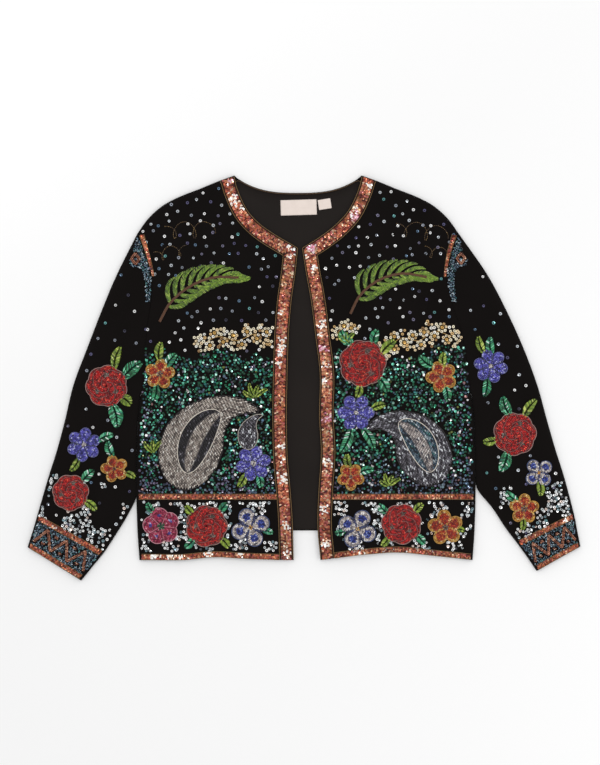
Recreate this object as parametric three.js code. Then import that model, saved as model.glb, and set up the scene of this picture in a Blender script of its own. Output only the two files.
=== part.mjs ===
// A collarless cropped jacket with an open front, worked all over in beads and sequins and laid out flat.
// Units are millimetres: +X to the right, +Y towards the neck, +Z up from the surface it lies on.
// "left" and "right" are as seen from above. The fronts lie on the back, and each sleeve is a flattened tube.
import * as THREE from "three";

// Driving sizes
const WALL = 2; // cloth together with its lining and beadwork
const SEAM = 0.3; // gap between two pieces that are sewn together
const LINING_WALL = 1;
const SEAM_HEIGHT = 3.6; // the side and shoulder seams lie half way up the laid garment
const LOWER_LAYER = WALL / 2; // middle of the wall that rests on the surface
const UPPER_LAYER = 4.9; // middle of the wall that lies on top
const ROLL = 5; // how far in from a fold the cloth is still turning over
const FOLD_PUFF = 1.5; // extra height of the air held just inside a fold
const CROWN = 1.1; // slow rise towards the middle of a panel
const HEM_Y = -273;
const SHOULDER_POINT = { half: 240, y: 217 }; // where the armhole seam meets the shoulder seam
const UNDERARM_Y = -27;
const NECK_HALF = 95.5; // half the width of the neck opening at the shoulder seams
const NECK_POINT_Y = 303;
const NECK_CORNER_Y = 195; // top of the front edges
const BACK_NECK_DROP = 25;
const BACK_HEM_RISE = 44; // the back hem lies this much higher than the front hem at the middle
const SLEEVE_CLEARANCE = 0.45; // between the side of the body and the sleeve laid beside it
const FRONT_TRIM = 21;
const HEM_TRIM = 9;
const BORDER_TRIM = 8;
const CUFF_TRIM = 8;
const BORDER_Y = -178; // centre line of the trim above the hem border
const TRIM_THICK = 1.2;
const BEAD_GAP = 0.4; // between a panel and what is worked on it
const PAD_GAP = 0.75; // the same under a padded motif, which bridges the panel's small hollows

// Armhole and side seam: half the width of the body at each height.
const BODY_EDGE = [
  { y: -273, half: 249 },
  { y: -229, half: 252 },
  { y: -177, half: 253.5 },
  { y: -126, half: 253 },
  { y: -64, half: 251 },
  { y: -27, half: 247 },
  { y: 40, half: 239.5 },
  { y: 73, half: 235 },
  { y: 115, half: 225 },
  { y: 148, half: 221 },
  { y: 178, half: 227 },
  { y: SHOULDER_POINT.y, half: SHOULDER_POINT.half },
];
// Shoulder seam, from the neck to the armhole.
const SHOULDER_SEAM = [
  { half: NECK_HALF, y: NECK_POINT_Y },
  { half: 118, y: 295 },
  { half: 146, y: 283.5 },
  { half: 178, y: 271 },
  { half: 201, y: 259 },
  { half: 215, y: 248 },
  { half: 227, y: 235.5 },
  { half: SHOULDER_POINT.half, y: SHOULDER_POINT.y },
];
// Front neckline, from the corner at the front edge up to the shoulder seam.
const NECKLINE = [
  { y: NECK_CORNER_Y, half: 3 },
  { y: 200, half: 11 },
  { y: 212, half: 31 },
  { y: 231, half: 57 },
  { y: 252, half: 76 },
  { y: 274, half: 87 },
  { y: 291, half: 93 },
  { y: NECK_POINT_Y, half: NECK_HALF },
];
// Front edges, as they lie: they part below the neck.
const FRONT_EDGE = [
  { y: -273, left: -15.5, right: 24.5 },
  { y: -216, left: -17, right: 20 },
  { y: -165, left: -20.5, right: 22 },
  { y: -110, left: -25, right: 25.5 },
  { y: -54, left: -25.8, right: 22.5 },
  { y: -4, left: -25, right: 24 },
  { y: 63, left: -23, right: 17 },
  { y: 115, left: -18.8, right: 10.5 },
  { y: 160, left: -12.5, right: 2.4 },
  { y: 195, left: -9, right: -3 },
];
// Front hem: how far it lies below the hem line, from the front edge (0) to the side seam (1).
const FRONT_HEM = [
  { across: 0, left: 1, right: 1 },
  { across: 0.3, left: -1.5, right: -8 },
  { across: 0.5, left: -4, right: -11 },
  { across: 0.75, left: 0.5, right: -6 },
  { across: 1, left: 0, right: 0 },
];
// Each sleeve at stations from the armhole to the cuff: its outer fold, and its inner fold.
// A station whose inner fold lies along the body gives only the height there.
const SLEEVE_LEFT = [
  { outerX: -249, outerY: 217, innerY: -27 },
  { outerX: -280, outerY: 155, innerY: -64 },
  { outerX: -302, outerY: 103, innerY: -94 },
  { outerX: -324, outerY: 46, innerY: -125 },
  { outerX: -345, outerY: -10, innerY: -153 },
  { outerX: -358, outerY: -64, innerY: -178 },
  { outerX: -370, outerY: -109, innerX: -267, innerY: -208 },
  { outerX: -383, outerY: -150, innerX: -283, innerY: -234 },
  { outerX: -399, outerY: -205, innerX: -300, innerY: -260 },
  { outerX: -406, outerY: -229, innerX: -317, innerY: -281 },
  { outerX: -414, outerY: -254, innerX: -335, innerY: -303.3 },
];
const SLEEVE_RIGHT = [
  { outerX: 231, outerY: 217, innerY: -27 },
  { outerX: 273, outerY: 157, innerY: -58 },
  { outerX: 302, outerY: 103, innerY: -86 },
  { outerX: 328, outerY: 46, innerY: -114 },
  { outerX: 349, outerY: -10, innerY: -141 },
  { outerX: 364, outerY: -64, innerX: 261, innerY: -166 },
  { outerX: 377, outerY: -109, innerX: 284, innerY: -195 },
  { outerX: 390, outerY: -150, innerX: 303, innerY: -224 },
  { outerX: 404, outerY: -203, innerX: 319, innerY: -245 },
  { outerX: 409, outerY: -228, innerX: 335, innerY: -267 },
  { outerX: 414, outerY: -253, innerX: 350, innerY: -289 },
];
const CUFF_STATION = 8; // the station where the cuff border starts
const SLEEVE_BOW = [0, 13, 13, 8, 4]; // how far the first rings bow away from the body before they meet it
// Soft folds in the upper layer: centre, direction of the ridge from +X, length, width and rise.
const SOFT_FOLDS = [
  { x: -310, y: 40, turn: 38, length: 120, width: 26, rise: 1.6 },
  { x: -330, y: -55, turn: 24, length: 110, width: 22, rise: 2.0 },
  { x: -318, y: -130, turn: 12, length: 120, width: 24, rise: 1.8 },
  { x: -268, y: 95, turn: 62, length: 130, width: 28, rise: 1.5 },
  { x: 300, y: 30, turn: 140, length: 120, width: 26, rise: 1.7 },
  { x: 325, y: -70, turn: 158, length: 110, width: 23, rise: 2.0 },
  { x: 345, y: -150, turn: 168, length: 110, width: 24, rise: 1.6 },
  { x: 262, y: 90, turn: 120, length: 120, width: 28, rise: 1.5 },
  { x: -196, y: -258, turn: 92, length: 90, width: 30, rise: 1.4 },
  { x: -100, y: -262, turn: 84, length: 110, width: 34, rise: 2.0 },
  { x: 88, y: -260, turn: 95, length: 120, width: 34, rise: 2.2 },
  { x: 190, y: -262, turn: 88, length: 90, width: 32, rise: 1.6 },
  { x: -214, y: 40, turn: 76, length: 150, width: 26, rise: 1.2 },
  { x: 212, y: 34, turn: 102, length: 150, width: 26, rise: 1.2 },
];

// Distances from an edge at which rows or columns are set, so that a fold is turned over smoothly.
const NEAR_EDGE = [0, 0.7, 2.2, ROLL, 14];
const MIDDLE_STEPS = 5;
// Rows above the underarm: how far up the front edge and neckline each one starts, by its row number.
const UP_THE_FRONT = [0, 5, 12, 22, 42, 88, 134, 180, 222, 290];
const ROWS_BELOW_UNDERARM = 6;

// Reads one column of a table at a value of another, along a smooth curve that never overshoots.
function read(table, by, key, at) {
  const x = table.map((row) => row[by]);
  const y = table.map((row) => row[key]);
  const rise = x.slice(1).map((v, i) => (y[i + 1] - y[i]) / (v - x[i]));
  const slope = x.map((v, i) => {
    if (i === 0) return rise[0];
    if (i === x.length - 1) return rise[i - 1];
    const [a, b] = [rise[i - 1], rise[i]];
    return a * b <= 0 ? 0 : (2 * a * b) / (a + b);
  });
  let i = 0;
  while (i < x.length - 2 && (at - x[i + 1]) * Math.sign(x[1] - x[0]) > 0) i += 1;
  const span = x[i + 1] - x[i];
  const t = THREE.MathUtils.clamp((at - x[i]) / span, 0, 1);
  const [t2, t3] = [t * t, t * t * t];
  return (
    y[i] * (2 * t3 - 3 * t2 + 1) +
    slope[i] * span * (t3 - 2 * t2 + t) +
    y[i + 1] * (3 * t2 - 2 * t3) +
    slope[i + 1] * span * (t3 - t2)
  );
}

const smooth = (t) => t * t * (3 - 2 * t);
const lerp = (a, b, t) => a + (b - a) * t;
const between = (p, q, t) => new THREE.Vector2(lerp(p.x, q.x, t), lerp(p.y, q.y, t));

// The garment was laid with its neck a little to the left of its hem.
const lean = (y) => lerp(3, -9, smooth(THREE.MathUtils.clamp(y / 200, 0, 1)));

const sideName = (side) => (side < 0 ? "left" : "right");
const edgeX = (side, y) => lean(y) + side * read(BODY_EDGE, "y", "half", y);

function curve(count, place) {
  return Array.from({ length: count + 1 }, (_, i) => place(i / count));
}

const armhole = (side) =>
  curve(40, (t) => {
    const y = lerp(UNDERARM_Y, SHOULDER_POINT.y, t);
    return new THREE.Vector2(edgeX(side, y), y);
  });
const sideSeam = (side) =>
  curve(16, (t) => {
    const y = lerp(HEM_Y, UNDERARM_Y, t);
    return new THREE.Vector2(edgeX(side, y), y);
  });
const shoulderSeam = (side) =>
  curve(24, (t) => {
    const half = lerp(NECK_HALF, SHOULDER_POINT.half, t);
    return new THREE.Vector2(lean(NECK_POINT_Y) + side * half, read(SHOULDER_SEAM, "half", "y", half));
  });
const frontEdge = (side) =>
  curve(30, (t) => {
    const y = lerp(HEM_Y, NECK_CORNER_Y, t);
    return new THREE.Vector2(read(FRONT_EDGE, "y", sideName(side), y), y);
  });
// The neckline starts where the front edge ends, and drifts on to the neck's own centre line.
const neckline = (side) =>
  curve(30, (t) => {
    const y = lerp(NECK_CORNER_Y, NECK_POINT_Y, t);
    const corner = read(FRONT_EDGE, "y", sideName(side), NECK_CORNER_Y);
    const start = corner - side * NECKLINE[0].half;
    const centre = lerp(start, lean(y), smooth(Math.min(t * 2.5, 1)));
    return new THREE.Vector2(centre + side * read(NECKLINE, "y", "half", y), y);
  });
const backNeck = curve(24, (t) => {
  const across = lerp(-1, 1, t);
  const rise = BACK_NECK_DROP * Math.abs(across) ** 2.8;
  return new THREE.Vector2(lean(NECK_POINT_Y) + across * NECK_HALF, NECK_POINT_Y - BACK_NECK_DROP + rise);
});
const frontHem = (side) => {
  const [inner, outer] = [frontEdge(side)[0].x, edgeX(side, HEM_Y)];
  return curve(20, (t) => {
    const drop = read(FRONT_HEM, "across", sideName(side), t);
    return new THREE.Vector2(lerp(inner, outer, t), HEM_Y - drop);
  });
};
const backHem = curve(28, (t) => {
  const across = lerp(-1, 1, t);
  const rise = BACK_HEM_RISE * (1 - across ** 4);
  return new THREE.Vector2(lerp(edgeX(-1, HEM_Y), edgeX(1, HEM_Y), t), HEM_Y + rise);
});

const sleeveTable = (side) => (side < 0 ? SLEEVE_LEFT : SLEEVE_RIGHT);
const besideBody = (side, y) => edgeX(side, y) + side * (WALL + SLEEVE_CLEARANCE);
const outerFold = (side) => sleeveTable(side).map((row) => new THREE.Vector2(row.outerX, row.outerY));
const innerFold = (side) =>
  sleeveTable(side).map((row) => new THREE.Vector2(row.innerX ?? besideBody(side, row.innerY), row.innerY));

// A polyline read by distance along it.
function follow(points) {
  const reached = [0];
  points.slice(1).forEach((p, i) => reached.push(reached[i] + p.distanceTo(points[i])));
  const at = (distance) => {
    const d = THREE.MathUtils.clamp(distance, 0, reached.at(-1));
    let i = 0;
    while (i < points.length - 2 && reached[i + 1] < d) i += 1;
    return between(points[i], points[i + 1], (d - reached[i]) / (reached[i + 1] - reached[i]));
  };
  return { length: reached.at(-1), at };
}

function distanceToLine(point, line) {
  let best = Infinity;
  for (let i = 1; i < line.length; i += 1) {
    const along = line[i].clone().sub(line[i - 1]);
    const offset = point.clone().sub(line[i - 1]);
    const t = THREE.MathUtils.clamp(offset.dot(along) / along.lengthSq(), 0, 1);
    best = Math.min(best, offset.distanceTo(along.multiplyScalar(t)));
  }
  return best;
}

// Every line where the upper and lower layers turn into each other or are sewn together.
const CLOSED_EDGES = [-1, 1].flatMap((side) => [
  sideSeam(side),
  shoulderSeam(side),
  outerFold(side),
  innerFold(side),
]);

const edgeDistance = (point) => Math.min(...CLOSED_EDGES.map((line) => distanceToLine(point, line)));
const turnedOver = (d) => Math.sqrt(1 - (1 - Math.min(d / ROLL, 1)) ** 2);

function softFolds(point) {
  return SOFT_FOLDS.reduce((sum, fold) => {
    const turn = THREE.MathUtils.degToRad(fold.turn);
    const [dx, dy] = [point.x - fold.x, point.y - fold.y];
    const along = (dx * Math.cos(turn) + dy * Math.sin(turn)) / (fold.length / 2);
    const across = (dy * Math.cos(turn) - dx * Math.sin(turn)) / fold.width;
    return sum + fold.rise * Math.exp(-(across ** 2)) * Math.exp(-(along ** 4));
  }, 0);
}

// Height of the middle of the upper wall, and of the lower one, at a place on the garment.
function upperHeight(point) {
  const d = edgeDistance(point);
  const puff = FOLD_PUFF * Math.exp(-(((d - 7) / 12) ** 2));
  const crown = CROWN * (1 - Math.exp(-d / 45));
  const flat = UPPER_LAYER + puff + crown + softFolds(point) * (1 - Math.exp(-d / 12));
  return lerp(SEAM_HEIGHT + SEAM / 2, flat, turnedOver(d));
}
function lowerHeight(point) {
  return lerp(SEAM_HEIGHT - SEAM / 2, LOWER_LAYER, turnedOver(edgeDistance(point)));
}

const lift = (point, z) => new THREE.Vector3(point.x, point.y, z);

// Distances along an edge of a given length: close together near both ends, even between.
function spread(length) {
  const last = NEAR_EDGE.at(-1);
  const gap = (length - 2 * last) / (MIDDLE_STEPS + 1);
  const middle = Array.from({ length: MIDDLE_STEPS }, (_, i) => last + gap * (i + 1));
  return [...NEAR_EDGE, ...middle, ...NEAR_EDGE.map((d) => length - d).reverse()];
}

// Turns lists of rows of points, each row the same length, into a closed solid.
// Faces are turned outwards at the end, by the sign of the volume.
function solidFrom(rows, { closedRound = false } = {}) {
  const width = rows[0].length;
  const points = rows.flat();
  const index = [];
  const quad = (a, b, c, d) => index.push(a, b, c, a, c, d);
  const around = closedRound ? width : width - 1;
  rows.slice(1).forEach((_, i) => {
    for (let j = 0; j < around; j += 1) {
      const k = (j + 1) % width;
      quad(i * width + j, i * width + k, (i + 1) * width + k, (i + 1) * width + j);
    }
  });
  return geometryOf(points, index);
}

function geometryOf(points, index) {
  const [a, b, c] = [new THREE.Vector3(), new THREE.Vector3(), new THREE.Vector3()];
  let volume = 0;
  for (let i = 0; i < index.length; i += 3) {
    a.copy(points[index[i]]);
    b.copy(points[index[i + 1]]);
    c.copy(points[index[i + 2]]);
    volume += a.dot(b.cross(c));
  }
  const faces = volume < 0 ? index.reverse() : index;
  const geometry = new THREE.BufferGeometry().setFromPoints(points);
  geometry.setIndex(faces);
  geometry.computeVertexNormals();
  return geometry;
}

// Closes two matching grids of points, one above the other, along their four edges.
function wallBetween(lower, upper) {
  const loop = (low, high) => [...low, ...high.slice().reverse()];
  const rows = lower.map((row, i) => loop(row, upper[i]));
  const geometry = solidFrom(rows, { closedRound: true });
  const points = rows.flat();
  const index = [...geometry.index.array];
  const width = rows[0].length;
  const flipped = index[0] !== 0;
  const cap = (row, turned) => {
    const start = row * width;
    for (let j = 0; j < width / 2 - 1; j += 1) {
      const [a, b, c, d] = [start + j, start + j + 1, start + width - 2 - j, start + width - 1 - j];
      index.push(...(turned ? [a, b, c, a, c, d] : [a, c, b, a, d, c]));
    }
  };
  cap(0, flipped);
  cap(rows.length - 1, !flipped);
  return geometryOf(points, index);
}

// Unit normals of a grid, turned to point up. A closed edge faces straight out, level with the surface.
function gridNormals(grid, outward, seams) {
  return grid.map((row, i) =>
    row.map((point, j) => {
      const level = outward(i, j);
      if (level) return level;
      const [before, after] = [row[Math.max(j - 1, 0)], row[Math.min(j + 1, row.length - 1)]];
      const [below, above] = [grid[Math.max(i - 1, 0)][j], grid[Math.min(i + 1, grid.length - 1)][j]];
      const [across, along] = [after.clone().sub(before), above.clone().sub(below)];
      const normal = across.clone().cross(along).normalize();
      if (normal.z < 0) normal.negate();
      return seams(i, j) ? alongSeam(normal, along) : normal;
    }),
  );
}

// Takes out of a normal what points across a seam, so that the end of a wall stands straight along it.
function alongSeam(normal, seam) {
  const across = new THREE.Vector3(-seam.y, seam.x, 0).normalize();
  return normal.addScaledVector(across, -normal.dot(across)).normalize();
}

const moved = (grid, normals, distance) =>
  grid.map((row, i) => row.map((p, j) => p.clone().addScaledVector(normals[i][j], distance)));

// Straight out from a closed edge, level with the surface, seen from a point just inside it.
function levelOut(point, inside) {
  return new THREE.Vector3(point.x - inside.x, point.y - inside.y, 0).normalize();
}

// Fills a four-sided outline with rows of points. Rows run between the inner and outer edges,
// and lie parallel to the bottom and top curves where they come near them.
function fillOutline({ inner, outer, bottom, top, rows, columns }) {
  const [low, high] = [follow(bottom), follow(top)];
  return rows.map((row) => {
    const [start, end] = [inner(row), outer(row)];
    const width = start.distanceTo(end);
    return columns(width).map((u) => {
      const bend = (line, weight) => {
        const straight = between(line.at(0), line.at(line.length), u);
        return line.at(u * line.length).sub(straight).multiplyScalar(weight);
      };
      return between(start, end, u).add(bend(low, 1 - row.share)).add(bend(high, row.share));
    });
  });
}

// Rows of the body: some below the underarm, the rest at set distances up the armhole.
function bodyRows(armLength) {
  const below = Array.from({ length: ROWS_BELOW_UNDERARM }, (_, i) => ({ seam: i / ROWS_BELOW_UNDERARM }));
  const above = spread(armLength).map((arm, i) => ({ seam: 1, arm, armShare: arm / armLength, step: i }));
  const sideLength = UNDERARM_Y - HEM_Y;
  return [...below, ...above].map((row) => ({
    ...row,
    share: (row.seam * sideLength + (row.arm ?? 0)) / (sideLength + armLength),
  }));
}

function outerPlace(side) {
  const [seam, arm] = [follow(sideSeam(side)), follow(armhole(side))];
  return (row) => (row.arm === undefined ? seam.at(row.seam * seam.length) : arm.at(row.armShare * arm.length));
}

// Front panel: from the front edge and neckline out to the side seam and armhole.
function frontGrid(side) {
  const armLength = follow(armhole(side)).length;
  const edge = follow(frontEdge(side));
  const neck = follow(neckline(side));
  const start = UNDERARM_Y - HEM_Y;
  const inner = (row) => {
    if (row.arm === undefined) return edge.at(row.seam * start);
    const fromTop = armLength - row.arm;
    const isTop = row.step >= UP_THE_FRONT.length;
    const up = isTop ? edge.length + neck.length - fromTop : start + UP_THE_FRONT[row.step];
    return up <= edge.length ? edge.at(up) : neck.at(up - edge.length);
  };
  const columns = (width) => {
    const rim = NEAR_EDGE.map((d) => 1 - d / width).reverse();
    return [...curve(7, (t) => t * rim[0]).slice(0, -1), ...rim];
  };
  return fillOutline({
    inner,
    outer: outerPlace(side),
    bottom: frontHem(side),
    top: shoulderSeam(side),
    rows: bodyRows(armLength),
    columns,
  });
}

// Keeps a panel's armhole edge half a seam gap inside the armhole line.
function insetArmhole(grid, side, column) {
  grid.forEach((row, i) => {
    if (i > ROWS_BELOW_UNDERARM) row[column].x -= (side * SEAM) / 2;
  });
}

function frontWall(side) {
  const flat = frontGrid(side);
  insetArmhole(flat, side, flat[0].length - 1);
  const grid = flat.map((row) => row.map((p) => lift(p, upperHeight(p))));
  const [lastRow, lastColumn] = [grid.length - 1, grid[0].length - 1];
  const outward = (i, j) => {
    if (i === lastRow) return levelOut(grid[i][j], grid[i - 1][j]);
    if (j === lastColumn && i <= ROWS_BELOW_UNDERARM) return levelOut(grid[i][j], grid[i][j - 1]);
    return null;
  };
  const armholeEdge = (i, j) => i > ROWS_BELOW_UNDERARM && j === lastColumn;
  const normals = gridNormals(grid, outward, armholeEdge);
  const top = moved(grid, normals, WALL / 2);
  return { geometry: wallBetween(moved(grid, normals, -WALL / 2), top), top };
}

// Back panel: its top edge is one shoulder seam, the neck, and the other shoulder seam.
const BACK_TOP = [...shoulderSeam(-1).reverse(), ...backNeck.slice(1, -1), ...shoulderSeam(1)];

function backGrid() {
  const armLength = follow(armhole(-1)).length;
  const shoulder = follow(shoulderSeam(1)).length;
  const top = follow(BACK_TOP).length;
  const neckShare = shoulder / top;
  const columns = (width) => {
    const rim = NEAR_EDGE.map((d) => d / width);
    const slope = curve(3, (t) => lerp(rim.at(-1), neckShare, t)).slice(1);
    const half = [...rim, ...slope];
    const neck = curve(6, (t) => lerp(neckShare, 1 - neckShare, t)).slice(1, -1);
    return [...half, ...neck, ...half.map((u) => 1 - u).reverse()];
  };
  return fillOutline({
    inner: outerPlace(-1),
    outer: outerPlace(1),
    bottom: backHem,
    top: BACK_TOP,
    rows: bodyRows(armLength),
    columns,
  });
}

function backWall() {
  const flat = backGrid();
  const lastColumn = flat[0].length - 1;
  insetArmhole(flat, -1, 0);
  insetArmhole(flat, 1, lastColumn);
  const grid = flat.map((row) => row.map((p) => lift(p, lowerHeight(p))));
  const lastRow = grid.length - 1;
  const outward = (i, j) => {
    const onShoulder = edgeDistance(new THREE.Vector2(grid[i][j].x, grid[i][j].y)) < 1;
    if (i === lastRow && onShoulder) return levelOut(grid[i][j], grid[i - 1][j]).negate();
    if (i > ROWS_BELOW_UNDERARM) return null;
    if (j === 0) return levelOut(grid[i][j], grid[i][1]).negate();
    if (j === lastColumn) return levelOut(grid[i][j], grid[i][j - 1]).negate();
    return null;
  };
  const armholeEdge = (i, j) => i > ROWS_BELOW_UNDERARM && (j === 0 || j === lastColumn);
  const normals = gridNormals(grid, outward, armholeEdge);
  return { geometry: wallBetween(moved(grid, normals, -WALL / 2), moved(grid, normals, WALL / 2)), flat };
}

// Lining of the back: up to the neck edge and down to the hem, and short of the seams at the sides.
function liningWall(flat) {
  const [first, last] = [4, flat[0].length - 5];
  const rows = [...flat.filter((_, i) => i % 2 === 0 || i < ROWS_BELOW_UNDERARM).slice(0, -2), flat.at(-1)];
  const bottom = LOWER_LAYER + WALL / 2 + SEAM;
  const place = (z) =>
    rows.map((row, i) =>
      row.slice(first, last + 1).map((p) => {
        const inNeck = Math.abs(p.x - lean(NECK_POINT_Y)) < NECK_HALF - 8;
        const down = i === rows.length - 1 ? (inNeck ? 2.5 : 9) : 0;
        const up = i === 0 ? 2 : 0;
        return lift(new THREE.Vector2(p.x, p.y - down + up), z);
      }),
    );
  return wallBetween(place(bottom), place(bottom + LINING_WALL));
}

// A sleeve is a tube of rings. Each ring crosses the upper layer from the outer fold to the inner one,
// and comes back through the lower layer. The first ring follows the armhole.
function sleeveWall(side) {
  const [outer, inner, arm] = [outerFold(side), innerFold(side), follow(armhole(side))];
  const armBend = (t) => {
    const straight = between(arm.at(arm.length), arm.at(0), t);
    return arm.at(arm.length * (1 - t)).sub(straight);
  };
  const rings = outer.map((start, i) => {
    const end = inner[i];
    const armShare = Math.max(0, 1 - i / 6) ** 2;
    const bow = (t) => new THREE.Vector2((side * (SLEEVE_BOW[i] ?? 0) * t ** 5 * (1 - t)) / 0.067, 0);
    const length = start.distanceTo(end);
    const distances = i ? spread(length) : spread(arm.length);
    const across = distances.map((d) => {
      if (i === 0) {
        // The seam gap, widened at the underarm to the clearance between sleeve and body.
        const nearUnderarm = 1 - smooth(Math.min((arm.length - d) / 8, 1));
        const gap = lerp(SEAM / 2, WALL + SLEEVE_CLEARANCE, nearUnderarm);
        return arm.at(arm.length - d).add(new THREE.Vector2(side * gap, 0));
      }
      const t = d / length;
      return between(start, end, t).add(armBend(t).multiplyScalar(armShare)).add(bow(t));
    });
    const fold = (p) => lift(p, SEAM_HEIGHT);
    const upper = across.slice(1, -1).map((p) => lift(p, upperHeight(p)));
    const lower = across.slice(1, -1).map((p) => lift(p, lowerHeight(p)));
    return [fold(across[0]), ...upper, fold(across.at(-1)), ...lower.reverse()];
  });
  const width = rings[0].length;
  const across = (width - 2) / 2 + 1;
  const normals = rings.map((ring, i) =>
    ring.map((p, j) => {
      const [back, on] = [rings[Math.max(i - 1, 0)][j], rings[Math.min(i + 1, rings.length - 1)][j]];
      const inwards = ring[j === 0 ? 1 : across - 1];
      if (j === 0 || j === across) {
        const level = levelOut(p, inwards);
        return i === 0 ? level : alongSeam(level, new THREE.Vector3(back.y - on.y, on.x - back.x, 0));
      }
      const round = ring[(j + 1) % width].clone().sub(ring[j - 1]);
      const normal = round.clone().cross(on.clone().sub(back)).normalize();
      if (normal.z * (j < across ? 1 : -1) < 0) normal.negate();
      return i === 0 ? alongSeam(normal, round) : normal;
    }),
  );
  const outside = moved(rings, normals, WALL / 2);
  const inside = moved(rings, normals, -WALL / 2);
  // Outside from armhole to cuff, then back up the inside: a loop of rings closed on itself.
  const loop = [...outside, ...inside.slice().reverse(), outside[0]];
  const top = outside.map((ring) => ring.slice(0, across + 1));
  return { geometry: solidFrom(loop, { closedRound: true }), top };
}

// Reads the height of a grid of points at any place in its outline.
function surfaceReader(grid) {
  const triangles = [];
  for (let i = 1; i < grid.length; i += 1) {
    for (let j = 1; j < grid[0].length; j += 1) {
      const [a, b, c, d] = [grid[i - 1][j - 1], grid[i - 1][j], grid[i][j], grid[i][j - 1]];
      triangles.push([a, b, c], [a, c, d]);
    }
  }
  const corners = grid.flat();
  return (p) => {
    for (const [a, b, c] of triangles) {
      const area = (b.x - a.x) * (c.y - a.y) - (c.x - a.x) * (b.y - a.y);
      const wb = ((p.x - a.x) * (c.y - a.y) - (c.x - a.x) * (p.y - a.y)) / area;
      const wc = ((b.x - a.x) * (p.y - a.y) - (p.x - a.x) * (b.y - a.y)) / area;
      if (wb >= 0 && wc >= 0 && wb + wc <= 1) return a.z + (b.z - a.z) * wb + (c.z - a.z) * wc;
    }
    const near = corners.reduce((best, q) =>
      Math.hypot(q.x - p.x, q.y - p.y) < Math.hypot(best.x - p.x, best.y - p.y) ? q : best,
    );
    return near.z;
  };
}

// Beadwork or trim on a panel: the panel's own height at each point, moved out.
function onPanel(flat, height, thickness) {
  const low = flat.map((row) => row.map((p) => lift(p, height(p) + BEAD_GAP)));
  const high = flat.map((row, i) =>
    row.map((p, j) => lift(p, height(p) + BEAD_GAP + thickness(i, j))),
  );
  return wallBetween(low, high);
}

// A line moved sideways: to its left for a turn of 1, to its right for -1.
function beside(line, distance, turn) {
  return line.map((p, i) => {
    const [back, on] = [line[Math.max(i - 1, 0)], line[Math.min(i + 1, line.length - 1)]];
    const out = new THREE.Vector2(back.y - on.y, on.x - back.x).normalize();
    return p.clone().addScaledVector(out, distance * turn);
  });
}

// Part of a line, from one distance along it to another, as evenly spaced points.
function stretch(line, from, to, count = 30) {
  const path = follow(line);
  return curve(count, (t) => path.at(lerp(from, to, t)));
}

// Shares along a ribbon, closer together near its ends where a panel turns over.
function ribbonShares(length, step) {
  const ends = [0, 2, 5.5, 12];
  const count = Math.max(1, Math.round((length - 24) / step));
  const middle = Array.from({ length: count - 1 }, (_, i) => 12 + ((length - 24) * (i + 1)) / count);
  return [...ends, ...middle, ...ends.map((d) => length - d).reverse()].map((d) => d / length);
}

// A ribbon lying on a panel between two lines, a little thicker along its middle.
function ribbonSolid({ from, to, height, step = 24, thickness = TRIM_THICK }) {
  const [a, b] = [follow(from), follow(to)];
  const flat = ribbonShares(a.length, step).map((share) => {
    const [p, q] = [a.at(share * a.length), b.at(share * b.length)];
    return [p, between(p, q, 0.5), q];
  });
  return onPanel(flat, height, (i, j) => thickness * (j === 1 ? 1.2 : 1));
}

// A padded motif: a closed outline drawn round a centre, domed towards the middle.
function paddedSolid({ centre, outline, height, rise }) {
  const steps = [
    { share: 1, level: 0.35 },
    { share: 0.88, level: 0.78 },
    { share: 0.5, level: 1 },
  ];
  const place = (share, level) =>
    outline.map((p) => {
      const q = between(centre, p, share);
      return lift(q, height(q) + PAD_GAP + rise * level);
    });
  const rings = [place(0.5, 0), place(1, 0), ...steps.map(({ share, level }) => place(share, level))];
  const count = outline.length;
  const points = rings.flat();
  const index = [];
  rings.slice(1).forEach((_, i) => {
    for (let j = 0; j < count; j += 1) {
      const [a, b] = [i * count + j, i * count + ((j + 1) % count)];
      index.push(a, b, b + count, a, b + count, a + count);
    }
  });
  const ground = height(centre) + PAD_GAP;
  points.push(lift(centre, ground), lift(centre, ground + rise * 0.9));
  const [low, high] = [points.length - 2, points.length - 1];
  const top = count * (rings.length - 1);
  for (let j = 0; j < count; j += 1) {
    const k = (j + 1) % count;
    index.push(low, k, j, high, top + j, top + k);
  }
  return geometryOf(points, index);
}

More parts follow.
